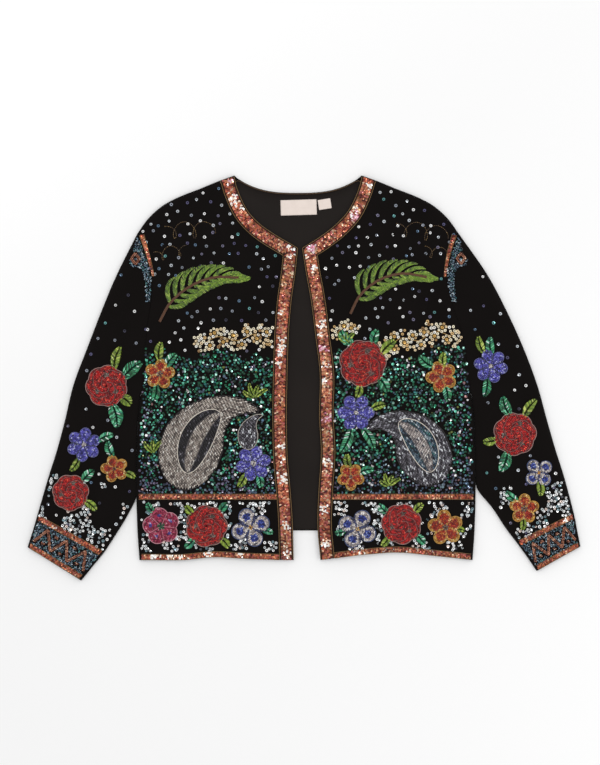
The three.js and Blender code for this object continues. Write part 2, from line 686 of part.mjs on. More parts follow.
// A paisley: full and round at one end, drawn out to a curled tip at the other.
// Its spine bends steadily; its width follows a table from the round end to the tip.
const PAISLEY_WIDTH = [
  { along: 0, width: 0.1 },
  { along: 0.04, width: 0.46 },
  { along: 0.12, width: 0.76 },
  { along: 0.25, width: 0.98 },
  { along: 0.38, width: 1 },
  { along: 0.52, width: 0.84 },
  { along: 0.66, width: 0.58 },
  { along: 0.8, width: 0.34 },
  { along: 0.92, width: 0.18 },
  { along: 1, width: 0.07 },
];
function paisleySolid({ centre, length, width, turn, curl, height, rise }) {
  const start = THREE.MathUtils.degToRad(turn);
  const bend = THREE.MathUtils.degToRad(curl);
  const heading = (t) => start + bend * t ** 2;
  const steps = 24;
  let spine = [new THREE.Vector2()];
  for (let i = 0; i < steps; i += 1) {
    const h = heading((i + 0.5) / steps);
    const step = new THREE.Vector2(Math.cos(h), Math.sin(h)).multiplyScalar(length / steps);
    spine.push(spine[i].clone().add(step));
  }
  const middle = spine[9].clone();
  spine = spine.map((p) => p.sub(middle).add(centre));
  const path = follow(spine);
  const shares = [0, 0.02, 0.05, 0.1, 0.17, 0.25, 0.33, 0.42, 0.51, 0.6, 0.69, 0.78, 0.86, 0.93, 1];
  const across = [-1, -0.86, -0.4, 0.4, 0.86, 1];
  const level = [0.3, 0.75, 1, 1, 0.75, 0.3];
  const flat = shares.map((t) => {
    const h = heading(t) + Math.PI / 2;
    const half = (read(PAISLEY_WIDTH, "along", "width", t) * width) / 2;
    return across.map((s) => {
      const out = new THREE.Vector2(Math.cos(h), Math.sin(h));
      return path.at(t * length).clone().addScaledVector(out, s * half);
    });
  });
  return onPanel(flat, height, (i, j) => {
    const taper = Math.min(1, 0.3 + shares[i] * 8, 0.35 + (1 - shares[i]) * 3);
    return rise * level[j] * taper;
  });
}

const left = -1;
const right = 1;
const jacket = new THREE.Group();

const MATERIALS = {
  cloth: { color: 0x17131a, roughness: 0.85, metalness: 0 },
  lining: { color: 0x29251f, roughness: 0.6, metalness: 0 },
  copper: { color: 0xb5694a, roughness: 0.35, metalness: 0.4 },
  label: { color: 0xe6dcd2, roughness: 0.7, metalness: 0 },
  teal: { color: 0x2c4653, roughness: 0.35, metalness: 0.2 },
  silver: { color: 0xa39a94, roughness: 0.35, metalness: 0.3 },
  pewter: { color: 0x55535b, roughness: 0.3, metalness: 0.4 },
  red: { color: 0xb0201c, roughness: 0.3, metalness: 0.1 },
  orange: { color: 0xc9822b, roughness: 0.3, metalness: 0.2 },
  violet: { color: 0x5a5ab4, roughness: 0.3, metalness: 0.1 },
  pink: { color: 0xb52f52, roughness: 0.3, metalness: 0.1 },
};

function addPiece(name, geometry, finish) {
  const mesh = new THREE.Mesh(geometry, new THREE.MeshStandardMaterial(MATERIALS[finish]));
  mesh.name = name;
  jacket.add(mesh);
}

// Back, with its lining where it shows between the fronts and in the neck.
const back = backWall();
addPiece("back", back.geometry, "cloth");
addPiece("back_lining", liningWall(back.flat), "lining");

// Woven label and size label, sewn inside the back neck.
const LABELS = [
  { name: "label", x: -8, y: 256, width: 54, depth: 23, turn: 1.6 },
  { name: "size_label", x: 31, y: 261, width: 19, depth: 15, turn: 9 },
];
const LABEL_THICK = 0.8;
LABELS.forEach(({ name, x, y, width, depth, turn }) => {
  const geometry = new THREE.BoxGeometry(width, depth, LABEL_THICK);
  geometry.rotateZ(THREE.MathUtils.degToRad(turn));
  const floor = LOWER_LAYER + WALL / 2 + SEAM + LINING_WALL + SEAM;
  geometry.translate(x, y, floor + LABEL_THICK / 2);
  addPiece(name, geometry, "label");
});

const fronts = new Map();
const sleeves = new Map();
[left, right].forEach((side) => {
  const name = sideName(side);
  const front = frontWall(side);
  const sleeve = sleeveWall(side);
  addPiece(`front_${name}`, front.geometry, "cloth");
  addPiece(`sleeve_${name}`, sleeve.geometry, "cloth");
  fronts.set(side, surfaceReader(front.top));
  sleeves.set(side, surfaceReader(sleeve.top));
});

// Copper sequin bands along the neck and the front edges, meeting in a mitre at each front's top corner.
const BAND_INSET = 0.6;
function mitreCorner(side) {
  const [edge, neck] = [frontEdge(side), neckline(side)];
  const corner = neck[0];
  const down = follow(edge.slice().reverse()).at(16).sub(corner).normalize();
  const up = follow(neck).at(16).sub(corner).normalize();
  const inward = down.clone().add(up).normalize();
  const half = Math.acos(down.dot(inward));
  const at = (distance, along) =>
    corner.clone().addScaledVector(inward, distance / Math.sin(half)).addScaledVector(along, SEAM / 2);
  return {
    neckInner: at(BAND_INSET, up),
    neckOuter: at(FRONT_TRIM, up),
    frontInner: at(BAND_INSET, down),
    frontOuter: at(FRONT_TRIM, down),
    passed: FRONT_TRIM / Math.tan(half) + 2,
  };
}
[left, right].forEach((side) => {
  const name = sideName(side);
  const height = fronts.get(side);
  const corner = mitreCorner(side);
  const seam = follow(shoulderSeam(side));
  const short = new THREE.Vector2(0, -2);
  const neckLength = follow(neckline(side)).length;
  const bent = stretch(neckline(side), corner.passed, neckLength - 8);
  addPiece(
    `neckband_${name}`,
    ribbonSolid({
      from: [corner.neckInner, ...beside(bent, BAND_INSET, -side), seam.at(BAND_INSET).add(short)],
      to: [corner.neckOuter, ...beside(bent, FRONT_TRIM, -side), seam.at(FRONT_TRIM + 1.5).add(short)],
      height,
      step: 15,
    }),
    "copper",
  );
  const edge = stretch(frontEdge(side), 0.7, follow(frontEdge(side)).length - corner.passed);
  addPiece(
    `front_band_${name}`,
    ribbonSolid({
      from: [...beside(edge, BAND_INSET, -side), corner.frontInner],
      to: [...beside(edge, FRONT_TRIM, -side), corner.frontOuter],
      height,
      step: 26,
    }),
    "copper",
  );
});

// Narrow copper trims: one across each front above the border, and one along each front hem.
const AT_SEAM = 2.6; // trims stop this far inside a side seam, where the panel starts to turn over
[left, right].forEach((side) => {
  const name = sideName(side);
  const height = fronts.get(side);
  const bandEdge = (y) => read(FRONT_EDGE, "y", name, y) + side * (FRONT_TRIM + SEAM + 0.5);
  const across = (y) => [
    new THREE.Vector2(bandEdge(y), y),
    new THREE.Vector2(edgeX(side, y) - side * AT_SEAM, y),
  ];
  const [low, high] = [BORDER_Y - BORDER_TRIM / 2, BORDER_Y + BORDER_TRIM / 2];
  addPiece(`waist_trim_${name}`, ribbonSolid({ from: across(low), to: across(high), height }), "copper");
  const hem = stretch(frontHem(side), FRONT_TRIM + 1.2, follow(frontHem(side)).length - AT_SEAM);
  addPiece(
    `hem_trim_${name}`,
    ribbonSolid({ from: beside(hem, 0.7, side), to: beside(hem, HEM_TRIM, side), height, step: 18 }),
    "copper",
  );
});

// Cuffs: a beaded band between two narrow trims, across the upper layer of each sleeve.
const CUFF_PARTS = [
  { name: "cuff_trim_upper", start: 0, end: 0.15, finish: "copper" },
  { name: "cuff_band", start: 0.158, end: 0.842, finish: "teal" },
  { name: "cuff_trim_lower", start: 0.85, end: 0.985, finish: "copper" },
];
[left, right].forEach((side) => {
  const outer = follow(outerFold(side).slice(CUFF_STATION));
  const inner = follow(innerFold(side).slice(CUFF_STATION));
  const acrossCuff = (share) => {
    const [a, b] = [outer.at(share * outer.length), inner.at(share * inner.length)];
    const inset = AT_SEAM / a.distanceTo(b);
    return [between(a, b, inset), between(b, a, inset)];
  };
  CUFF_PARTS.forEach(({ name, start, end, finish }) => {
    const ends = { from: acrossCuff(start), to: acrossCuff(end) };
    addPiece(`${name}_${sideName(side)}`, ribbonSolid({ ...ends, height: sleeves.get(side) }), finish);
  });
});

// At the top of each armhole a copper bar on the front, and a beaded insert beside it on the sleeve.
// The insert's width is given at distances down from the shoulder point.
const INSERT_WIDTH = [
  { down: 4, width: 2.5 },
  { down: 12, width: 8 },
  { down: 26, width: 18 },
  { down: 38, width: 27 },
  { down: 45, width: 25 },
  { down: 52, width: 13 },
  { down: 75, width: 11 },
  { down: 108, width: 8 },
];
[left, right].forEach((side) => {
  const fromTop = armhole(side).reverse();
  const bar = stretch(fromTop, 4, 68);
  const taper = (line) => line.map((p, i) => between(p, bar[i], (i / bar.length) * 0.55));
  addPiece(
    `shoulder_bar_${sideName(side)}`,
    ribbonSolid({
      from: beside(bar, 1, -side),
      to: taper(beside(bar, 8, -side)),
      height: fronts.get(side),
      step: 10,
    }),
    "copper",
  );
  const { down: first } = INSERT_WIDTH[0];
  const last = INSERT_WIDTH.at(-1).down;
  const seam = stretch(fromTop, first, last, 40);
  const width = (i) => read(INSERT_WIDTH, "down", "width", lerp(first, last, i / 40));
  addPiece(
    `insert_${sideName(side)}`,
    ribbonSolid({
      from: beside(seam, 1.2, side),
      to: seam.map((_, i) => beside(seam, width(i), side)[i]),
      height: sleeves.get(side),
      step: 8,
    }),
    "teal",
  );
});

// Padded beadwork. Each flower is a number of petals, cut in as deep as its notch.
const FLOWERS = {
  rose: { petals: 7, notch: 0.1, perPetal: 4, rise: 2.4, finish: "red" },
  blossom: { petals: 5, notch: 0.4, perPetal: 4, rise: 1.8, finish: "orange" },
  aster: { petals: 6, notch: 0.36, perPetal: 4, rise: 1.8, finish: "violet" },
  bloom: { petals: 4, notch: 0.5, perPetal: 6, rise: 1.8, finish: "silver" },
  pink_bloom: { petals: 5, notch: 0.22, perPetal: 4, rise: 2.2, finish: "pink" },
};
const FLOWER_PLACES = [
  { name: "rose_front", kind: "rose", on: "front", side: right, x: 88, y: 22, radius: 35, turn: 8 },
  { name: "rose_hem_left", kind: "rose", on: "front", side: left, x: -146, y: -222, radius: 31, turn: 0 },
  { name: "rose_hem_right", kind: "rose", on: "front", side: right, x: 146, y: -219, radius: 30, turn: 20 },
  { name: "rose_sleeve_left", kind: "rose", on: "sleeve", side: left, x: -296, y: -12, radius: 31, turn: 30 },
  { name: "rose_cuff_left", kind: "rose", on: "sleeve", side: left, x: -350, y: -172, radius: 27, turn: 12 },
  { name: "rose_sleeve_right", kind: "rose", on: "sleeve", side: right, x: 316, y: -84, radius: 32, turn: 5 },
  { name: "blossom_side_left", kind: "blossom", on: "front", side: left, x: -216, y: 6, radius: 22, turn: 10 },
  { name: "blossom_side_right", kind: "blossom", on: "front", side: right, x: 206, y: 2, radius: 23, turn: 40 },
  { name: "blossom_hem", kind: "blossom", on: "front", side: right, x: 212, y: -224, radius: 26, turn: 25 },
  { name: "blossom_waist", kind: "blossom", on: "front", side: right, x: 70, y: -148, radius: 20, turn: 55 },
  { name: "blossom_sleeve_left", kind: "blossom", on: "sleeve", side: left, x: -284, y: -136, radius: 20, turn: 33 },
  { name: "blossom_cuff_right", kind: "blossom", on: "sleeve", side: right, x: 330, y: -196, radius: 22, turn: 15 },
  { name: "aster_front_left", kind: "aster", on: "front", side: left, x: -76, y: -128, radius: 26, turn: 15 },
  { name: "aster_front_right", kind: "aster", on: "front", side: right, x: 78, y: -52, radius: 27, turn: 0 },
  { name: "aster_sleeve_left", kind: "aster", on: "sleeve", side: left, x: -330, y: -100, radius: 25, turn: 22 },
  { name: "aster_sleeve_right", kind: "aster", on: "sleeve", side: right, x: 280, y: 18, radius: 25, turn: 48 },
  { name: "bloom_hem_left", kind: "bloom", on: "front", side: left, x: -80, y: -224, radius: 29, turn: 20 },
  { name: "bloom_hem_right", kind: "bloom", on: "front", side: right, x: 80, y: -226, radius: 29, turn: 65 },
  { name: "bloom_sleeve_right", kind: "bloom", on: "sleeve", side: right, x: 352, y: -142, radius: 22, turn: 40 },
  { name: "pink_bloom_hem", kind: "pink_bloom", on: "front", side: left, x: -214, y: -222, radius: 27, turn: 30 },
];
const surfaceOf = { front: fronts, sleeve: sleeves };
FLOWER_PLACES.forEach(({ name, kind, on, side, x, y, radius, turn }) => {
  const { petals, notch, perPetal, rise, finish } = FLOWERS[kind];
  const centre = new THREE.Vector2(x, y);
  const count = petals * perPetal;
  const outline = Array.from({ length: count }, (_, i) => {
    const around = (i / count) * 2 * Math.PI;
    const reach = radius * (1 - notch + notch * Math.abs(Math.cos((around * petals) / 2)) ** 0.8);
    const angle = around + THREE.MathUtils.degToRad(turn);
    return new THREE.Vector2(x + reach * Math.cos(angle), y + reach * Math.sin(angle));
  });
  addPiece(name, paddedSolid({ centre, outline, height: surfaceOf[on].get(side), rise }), finish);
});

// Paisleys worked in bugle beads on the lower fronts.
const PAISLEYS = [
  { name: "paisley_left", side: left, x: -166, y: -96, length: 196, width: 94, turn: 84, curl: -118, finish: "silver" },
  { name: "paisley_small_left", side: left, x: -84, y: -84, length: 62, width: 30, turn: 100, curl: -95, finish: "pewter" },
  { name: "paisley_right", side: right, x: 176, y: -104, length: 160, width: 82, turn: 98, curl: 128, finish: "pewter" },
];
PAISLEYS.forEach(({ name, side, x, y, finish, ...shape }) => {
  const centre = new THREE.Vector2(x, y);
  addPiece(name, paisleySolid({ centre, ...shape, height: fronts.get(side), rise: 2 }), finish);
});

export default jacket;
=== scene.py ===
"""A collarless evening jacket with an open front, beaded and sequinned nearly all over, laid flat.

Sizes are millimetres until a piece is put in: +X to the right, +Y to the neck, +Z up from the table.
Places on the table are rows of x and y, and a side is -1 for the left one and 1 for the right one.
The order is the maker's: cloth, lining and labels, copper bands, grounds of sequins, then the padded motifs.
"""
import math

import bpy
import numpy as np
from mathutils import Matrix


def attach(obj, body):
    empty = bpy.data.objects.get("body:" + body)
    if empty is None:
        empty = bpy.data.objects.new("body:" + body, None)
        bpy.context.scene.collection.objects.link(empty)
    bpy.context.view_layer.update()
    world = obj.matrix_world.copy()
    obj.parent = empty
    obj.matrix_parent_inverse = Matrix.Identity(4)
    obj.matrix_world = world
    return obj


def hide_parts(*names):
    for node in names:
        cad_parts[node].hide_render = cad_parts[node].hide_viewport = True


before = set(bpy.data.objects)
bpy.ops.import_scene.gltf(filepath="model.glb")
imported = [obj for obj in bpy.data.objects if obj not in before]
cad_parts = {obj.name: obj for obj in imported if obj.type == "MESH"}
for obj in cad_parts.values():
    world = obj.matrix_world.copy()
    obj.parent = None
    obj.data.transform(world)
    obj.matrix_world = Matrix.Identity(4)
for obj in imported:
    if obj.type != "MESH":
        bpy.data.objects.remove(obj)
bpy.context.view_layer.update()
chance = np.random.default_rng(1921)
SIDES = {-1: "left", 1: "right"}

# Table, light and camera. The jacket lies on a plain white table and is seen from straight above,
# under one large soft light from the upper left and an even pale room.
CAMERA_HEIGHT = 2.7  # metres above the table
CLOTH_HEIGHT = 0.006
PICTURE_HEIGHT = 1.1475  # metres of the table that the picture is tall: 765 pixels of 1.5 mm
PICTURE_CENTRE = (-0.006, -0.00675)
TABLE_HALF = 6


def in_the_scene(name, data):
    made = bpy.data.objects.new(name, data)
    bpy.context.scene.collection.objects.link(made)
    return made


lens = bpy.data.cameras.new("camera")
lens.sensor_fit, lens.sensor_height, lens.clip_end = "VERTICAL", 36, 50
lens.lens = lens.sensor_height * (CAMERA_HEIGHT - CLOTH_HEIGHT) / PICTURE_HEIGHT
camera = in_the_scene("camera", lens)
camera.location = (*PICTURE_CENTRE, CAMERA_HEIGHT)
bpy.context.scene.camera = camera
bpy.context.scene.view_settings.view_transform = "Standard"

world = bpy.data.worlds.new("room")
world.use_nodes = True
world.node_tree.nodes["Background"].inputs["Color"].default_value = (1, 1, 1, 1)
world.node_tree.nodes["Background"].inputs["Strength"].default_value = 0.84
bpy.context.scene.world = world

LAMPS = [  # name, place and size in metres, watts
    ("window", (-1.5, 1.7, 2.2), 1.0, 64), ("fill", (1.9, -0.6, 2.4), 1.6, 28),
    ("glint", (-0.5, 0.9, 3.0), 0.25, 14),
]
for name, place, size, watts in LAMPS:
    lamp = bpy.data.lights.new(name, "AREA")
    lamp.energy, lamp.size = watts, size
    lamp = in_the_scene(name, lamp)
    lamp.location = place
    toward = -np.array(place) / np.linalg.norm(place)
    lamp.rotation_euler = (math.acos(-toward[2]), 0, math.atan2(toward[0], -toward[1]))


def colour(red, green, blue):
    """A colour named by its three 0 to 255 values on a screen, as the linear values that light needs."""
    part = np.array([red, green, blue]) / 255
    linear = np.where(part <= 0.04045, part / 12.92, ((part + 0.055) / 1.055) ** 2.4)
    return (*linear, 1.0)


class Finish:
    """A material made of nodes. An input is given a value, or another node's output to be linked to it."""

    def __init__(self, name):
        self.material = bpy.data.materials.new(name)
        self.material.use_nodes = True
        self.tree = self.material.node_tree

    def fill(self, made, inputs):
        for key, value in inputs.items():
            if isinstance(value, bpy.types.NodeSocket):
                self.tree.links.new(value, made.inputs[key])
            else:
                made.inputs[key].default_value = value

    def node(self, kind, output, inputs, **settings):
        made = self.tree.nodes.new("ShaderNode" + kind)
        for key, value in settings.items():
            setattr(made, key, value)
        self.fill(made, inputs)
        return made.outputs[output]

    def texture(self, kind, place=None, detail=None, distortion=None, scale=5.0, **settings):
        """A noise or a wave on the object's own coordinates, or on a place."""
        place = place or self.node("TexCoord", "Object", {})
        given = {"Vector": place, "Scale": scale, "Detail": detail, "Distortion": distortion}
        given = {key: value for key, value in given.items() if value is not None}
        return self.node(kind, "Fac", given, **settings)

    def ramp(self, value, dark, light):
        shade = self.node("ValToRGB", "Color", {"Fac": value})
        for stop, tone in zip(shade.node.color_ramp.elements, (dark, light)):
            stop.color = tone
        return shade

    def bump(self, height, strength, distance=0.0002):
        return self.node("Bump", "Normal", {"Height": height, "Strength": strength, "Distance": distance})

    def shader(self, roughness, specular, **more):
        """Sets the shader's sockets; those in more are named with _ for a space."""
        given = {key.replace("_", " "): value for key, value in more.items()}
        given |= {"Roughness": roughness, "Specular IOR Level": specular}
        self.fill(self.tree.nodes["Principled BSDF"], given)
        return self.material


finish = Finish("table")
cloud = finish.node("TexNoise", "Fac", {"Scale": 6})
shade = finish.ramp(cloud, (0.955, 0.955, 0.955, 1), (0.975, 0.975, 0.975, 1))
table_mesh = bpy.data.meshes.new("table")
corners = [(x * TABLE_HALF, y * TABLE_HALF, 0) for x, y in ((-1, -1), (1, -1), (1, 1), (-1, 1))]
table_mesh.from_pydata(corners, [], [(0, 1, 2, 3)])
table_mesh.materials.append(finish.shader(0.9, 0.1, Base_Color=shade))
in_the_scene("table", table_mesh)

# The cut of the body. The back is one piece; the two fronts meet at the neck and part below it.
# Each line is worked out from a short table: y (or a share), and a half width or a place at it.
WALL = 2.0
SEAM_HEIGHT = 3.6
HALF_GAP = 0.15  # between pieces that meet at a seam
ROLL = 5.0
HEM_Y, UNDERARM_Y = -273.0, -27.0
SHOULDER_HALF, SHOULDER_Y = 240.0, 217.0
NECK_HALF, NECK_Y, CORNER_Y = 95.5, 303.0, 195.0
BODY_EDGE = [
    (-273, 249), (-229, 252), (-177, 253.5), (-126, 253), (-64, 251), (-27, 247),
    (40, 239.5), (73, 235), (115, 225), (148, 221), (178, 227), (217, 240),
]  # y, half width
SHOULDER = [
    (95.5, 303), (118, 295), (146, 283.5), (178, 271), (201, 259), (215, 248), (227, 235.5), (240, 217),
]  # half width, y
NECKLINE = [(195, 3), (200, 11), (212, 31), (231, 57), (252, 76), (274, 87), (291, 93), (303, 95.5)]
FRONT_EDGE = [
    (-273, -15.5, 24.5), (-216, -17, 20), (-165, -20.5, 22), (-110, -25, 25.5), (-54, -25.8, 22.5),
    (-4, -25, 24), (63, -23, 17), (115, -18.8, 10.5), (160, -12.5, 2.4), (195, -9, -3),
]  # y, x of the left front's edge, x of the right's
FRONT_HEM = [  # share, left drop, right drop
    (0, 1, 1), (0.3, -1.5, -8), (0.5, -4, -11), (0.75, 0.5, -6), (1, 0, 0),
]
BACK_HEM_RISE, BACK_NECK_DROP = 44.0, 25.0
COLUMN = {-1: 1, 1: 2}  # of a table that gives the left front's value and then the right one's


def read(table, column, at):
    """A column of a table at values of its first: cubic pieces whose slope at each row is the
    harmonic mean of the slopes on both sides, or level where these differ in sign."""
    rows = np.array(table, float)
    x, y = rows[:, 0], rows[:, column]
    step, rise = np.diff(x), np.diff(y) / np.diff(x)
    before, after = rise[:-1], rise[1:]
    mean = 2 * before * after / np.where(before + after == 0, 1, before + after)
    slope = np.concatenate([rise[:1], np.where(before * after > 0, mean, 0), rise[-1:]])
    at = np.clip(np.asarray(at, float), x[0], x[-1])
    i = np.clip(np.searchsorted(x, at, side="right") - 1, 0, len(step) - 1)
    t = (at - x[i]) / step[i]
    return (
        y[i] * (2 * t**3 - 3 * t**2 + 1) + slope[i] * step[i] * (t**3 - 2 * t**2 + t)
        + y[i + 1] * (3 * t**2 - 2 * t**3) + slope[i + 1] * step[i] * (t**3 - t**2)
    )


def ease(t):
    """Zero below 0, one above 1, and 3t squared less 2t cubed between."""
    t = np.clip(t, 0, 1)
    return t * t * (3 - 2 * t)


def rows_of(*columns):
    """Numbers side by side in rows: places, ways in space or the corners of faces."""
    return np.stack(np.broadcast_arrays(*columns), -1)


def unit(way):
    """Ways brought to a length of one."""
    return way / (np.linalg.norm(way, axis=-1, keepdims=True) + 1e-12)


def lean(y):
    """The neck was laid 12 mm to the left of the hem: the centre line's x at a height."""
    return 3 - 12 * ease(np.asarray(y) / 200)


def body_edge(side, y):
    return lean(y) + side * read(BODY_EDGE, 1, y)


def armhole(side, count=90):
    y = np.linspace(UNDERARM_Y, SHOULDER_Y, count)
    return rows_of(body_edge(side, y), y)


def side_seam(side, count=40):
    y = np.linspace(HEM_Y, UNDERARM_Y, count)
    return rows_of(body_edge(side, y), y)


def shoulder_seam(side, count=50):
    half = np.linspace(NECK_HALF, SHOULDER_HALF, count)
    return rows_of(lean(NECK_Y) + side * half, read(SHOULDER, 1, half))


def front_edge(side, count=70):
    y = np.linspace(HEM_Y, CORNER_Y, count)
    return rows_of(read(FRONT_EDGE, COLUMN[side], y), y)


def neckline(side, count=60):
    y = np.linspace(CORNER_Y, NECK_Y, count)
    start = front_edge(side)[-1, 0] - side * NECKLINE[0][1]
    centre = start + (lean(y) - start) * ease(2.5 * np.linspace(0, 1, count))
    return rows_of(centre + side * read(NECKLINE, 1, y), y)


def back_neck(count=50):
    across = np.linspace(-1, 1, count)
    y = NECK_Y - BACK_NECK_DROP + BACK_NECK_DROP * np.abs(across) ** 2.8
    return rows_of(lean(NECK_Y) + across * NECK_HALF, y)


def front_hem(side, count=60):
    t = np.linspace(0, 1, count)
    inner, outer = front_edge(side)[0, 0], body_edge(side, HEM_Y)
    return rows_of(inner + (outer - inner) * t, HEM_Y - read(FRONT_HEM, COLUMN[side], t))


def back_hem(count=60):
    across = np.linspace(-1, 1, count)
    left, right = body_edge(-1, HEM_Y), body_edge(1, HEM_Y)
    return rows_of(left + (right - left) * (across + 1) / 2, HEM_Y + BACK_HEM_RISE * (1 - across**4))


# Each sleeve by stations from the armhole to the cuff: outer fold's x and y, inner fold's x and y.
# Where the inner fold lies along the body, its x is not given.
SLEEVES = {
    -1: [
        (-249, 217, None, -27), (-280, 155, None, -64), (-302, 103, None, -94), (-324, 46, None, -125),
        (-345, -10, None, -153), (-358, -64, None, -178), (-370, -109, -267, -208), (-383, -150, -283, -234),
        (-399, -205, -300, -260), (-406, -229, -317, -281), (-414, -254, -335, -303.3),
    ],
    1: [
        (231, 217, None, -27), (273, 157, None, -58), (302, 103, None, -86), (328, 46, None, -114),
        (349, -10, None, -141), (364, -64, 261, -166), (377, -109, 284, -195), (390, -150, 303, -224),
        (404, -203, 319, -245), (409, -228, 335, -267), (414, -253, 350, -289),
    ],
}
CUFF_STATION = 8
BESIDE_BODY = WALL + 0.1


def outer_fold(side):
    return np.array([row[:2] for row in SLEEVES[side]], float)


def inner_fold(side):
    rows = [(body_edge(side, y) + side * BESIDE_BODY if x is None else x, y) for _, _, x, y in SLEEVES[side]]
    return np.array(rows, float)


def length_of(points):
    return np.linalg.norm(np.diff(points, axis=0), axis=1).sum()


def reached(points):
    """How far along a line each of its points is."""
    return np.concatenate([[0], np.cumsum(np.linalg.norm(np.diff(points, axis=0), axis=1))])


def along(points, distance):
    """Places at distances along a line of points."""
    return rows_of(*(np.interp(distance, reached(points), column) for column in points.T))


def part_way(points, share):
    """Places at shares of a line's length."""
    return along(points, share * length_of(points))


def stretch(points, start, end, count=31):
    """The part of a line between two distances along it."""
    return along(points, np.linspace(start, end, count))


def rounded_at(points, t):
    """A Catmull-Rom curve through points, read at numbers counted in points."""
    p = np.concatenate([2 * points[:1] - points[1:2], points, 2 * points[-1:] - points[-2:-1]])
    i = np.clip(t.astype(int), 0, len(points) - 2)
    f = (t - i)[:, None]
    a, b, c, d = (p[i + k] for k in range(4))
    return 0.5 * (2 * b + (c - a) * f + (2 * a - 5 * b + 4 * c - d) * f**2 + (3 * b - a - 3 * c + d) * f**3)


def rounded(points, count):
    """The same curve with its places evenly spaced."""
    points = np.array(points, float)
    curve = rounded_at(points, np.linspace(0, len(points) - 1, 12 * len(points) - 11))
    return part_way(curve, np.linspace(0, 1, count))


def distance_to(points, p):
    """Distance from places to the nearest point of a line of short steps."""
    step = np.diff(points, axis=0)
    offset = p[..., None, :] - points[:-1]
    t = np.clip((offset * step).sum(-1) / ((step**2).sum(-1) + 1e-12), 0, 1)
    return np.linalg.norm(offset - t[..., None] * step, axis=-1).min(-1)


def sleeve_folds(side):
    return rounded(outer_fold(side), 60), rounded(inner_fold(side), 60)


closed_edges = [
    points for side in SIDES for points in (side_seam(side), shoulder_seam(side), *sleeve_folds(side))
]


def edge_distance(p):
    """Distance from places on the garment to the nearest line where its layers turn over or are sewn."""
    return np.minimum.reduce([distance_to(points, p) for points in closed_edges])


# Soft folds of the laid cloth, as ridges or troughs: x, y, direction, length, width, rise.
FOLDS = [
    (-310, 40, 38, 120, 26, 1.6), (-330, -55, 24, 110, 22, 2.0), (-318, -130, 12, 120, 24, 1.8),
    (-268, 95, 62, 130, 28, 1.5), (300, 30, 140, 120, 26, 1.7), (325, -70, 158, 110, 23, 2.0),
    (345, -150, 168, 110, 24, 1.6), (262, 90, 120, 120, 28, 1.5), (-196, -258, 92, 90, 30, 1.4),
    (-100, -262, 84, 110, 34, 2.0), (88, -260, 95, 120, 34, 2.2), (190, -262, 88, 90, 32, 1.6),
    (-214, 40, 76, 150, 26, 1.2), (212, 34, 102, 150, 26, 1.2), (-288, 70, 30, 70, 7, 0.7),
    (-300, 8, 48, 60, 6, -0.6), (-345, -92, 20, 60, 7, 0.7), (-300, -170, 5, 70, 7, -0.6),
    (-352, -196, 28, 50, 6, 0.6), (-262, 130, 70, 60, 7, 0.6), (285, 75, 150, 60, 7, 0.7),
    (318, -10, 142, 70, 6, -0.6), (300, -110, 165, 60, 7, 0.6), (372, -120, 150, 50, 6, 0.6),
    (330, -185, 172, 60, 6, -0.5), (255, 140, 112, 50, 6, 0.6), (-232, 120, 80, 90, 8, 0.6),
    (-205, 190, 55, 70, 8, 0.5), (215, 130, 98, 90, 8, 0.6), (190, 200, 128, 70, 8, 0.5),
    (-120, 240, 70, 80, 9, 0.5), (110, 236, 112, 80, 9, 0.5), (-232, -60, 86, 120, 8, 0.6),
    (236, -70, 94, 110, 8, 0.6),
]


def turned(p, degrees):
    """Places turned round the origin."""
    c, s = math.cos(math.radians(degrees)), math.sin(math.radians(degrees))
    return p @ np.array([(c, s), (-s, c)])


def lying(p):
    """The ridges' heights added up: each is a bell across it that fades at its ends."""
    total = np.zeros(p.shape[:-1])
    for x, y, turn, length, width, rise in FOLDS:
        run, over = np.moveaxis(turned(p - (x, y), -turn), -1, 0)
        total += rise * np.exp(-((over / width) ** 2) - (2 * run / length) ** 4)
    return total


BESIDE_FOLD, FOLD_PUFF, MIDDLE_RISE = 4.9, 1.5, 1.1  # the upper wall's height and how far it swells


def layers(p):
    """Heights of the middle of the lower and the upper wall, which meet in a quarter round at a fold."""
    d = edge_distance(p)
    level = np.sqrt(np.clip(1 - (1 - np.minimum(d / ROLL, 1)) ** 2, 0, 1))
    puff = FOLD_PUFF * np.exp(-(((d - 7) / 12) ** 2))
    flat = BESIDE_FOLD + puff + MIDDLE_RISE * (1 - np.exp(-d / 45)) + lying(p) * (1 - np.exp(-d / 12))
    low, high = SEAM_HEIGHT - HALF_GAP, SEAM_HEIGHT + HALF_GAP
    return low + (WALL / 2 - low) * level, high + (flat - high) * level


def on_top(p):
    """The height of the cloth's face that looks up."""
    return layers(p)[1] + WALL / 2


def raised(p, height):
    """Places on the table given heights."""
    return np.concatenate([p, np.broadcast_to(height, p.shape[:-1])[..., None]], -1)


def at_cloth(p, above, reach=1.5):
    """Places on the garment's upper face, raised by a distance, and the way it faces there, from the
    heights 1.5 mm to each side of it."""
    dx, dy = (on_top(p + step) - on_top(p - step) for step in ((reach, 0), (0, reach)))
    return raised(p, on_top(p) + above), unit(rows_of(-dx, -dy, 2 * reach))


def grid_faces(rows, columns, closed=False):
    """Four-sided faces of a grid of points, wrapped round on itself where it is closed."""
    index = np.arange(rows * columns).reshape(rows, columns)
    on = np.roll(index, -1, axis=1) if closed else index[:, 1:]
    here = index if closed else index[:, :-1]
    return rows_of(here[:-1], on[:-1], on[1:], here[1:]).reshape(-1, 4)


def outward(points, faces):
    """Turns the faces round if the closed shape's volume comes out negative."""
    a, b, c, d = (points[faces[:, k]] for k in range(4))
    volume = np.einsum("ij,ij->", a, np.cross(b, c)) + np.einsum("ij,ij->", a, np.cross(c, d))
    return points, faces[:, ::-1] if volume < 0 else faces


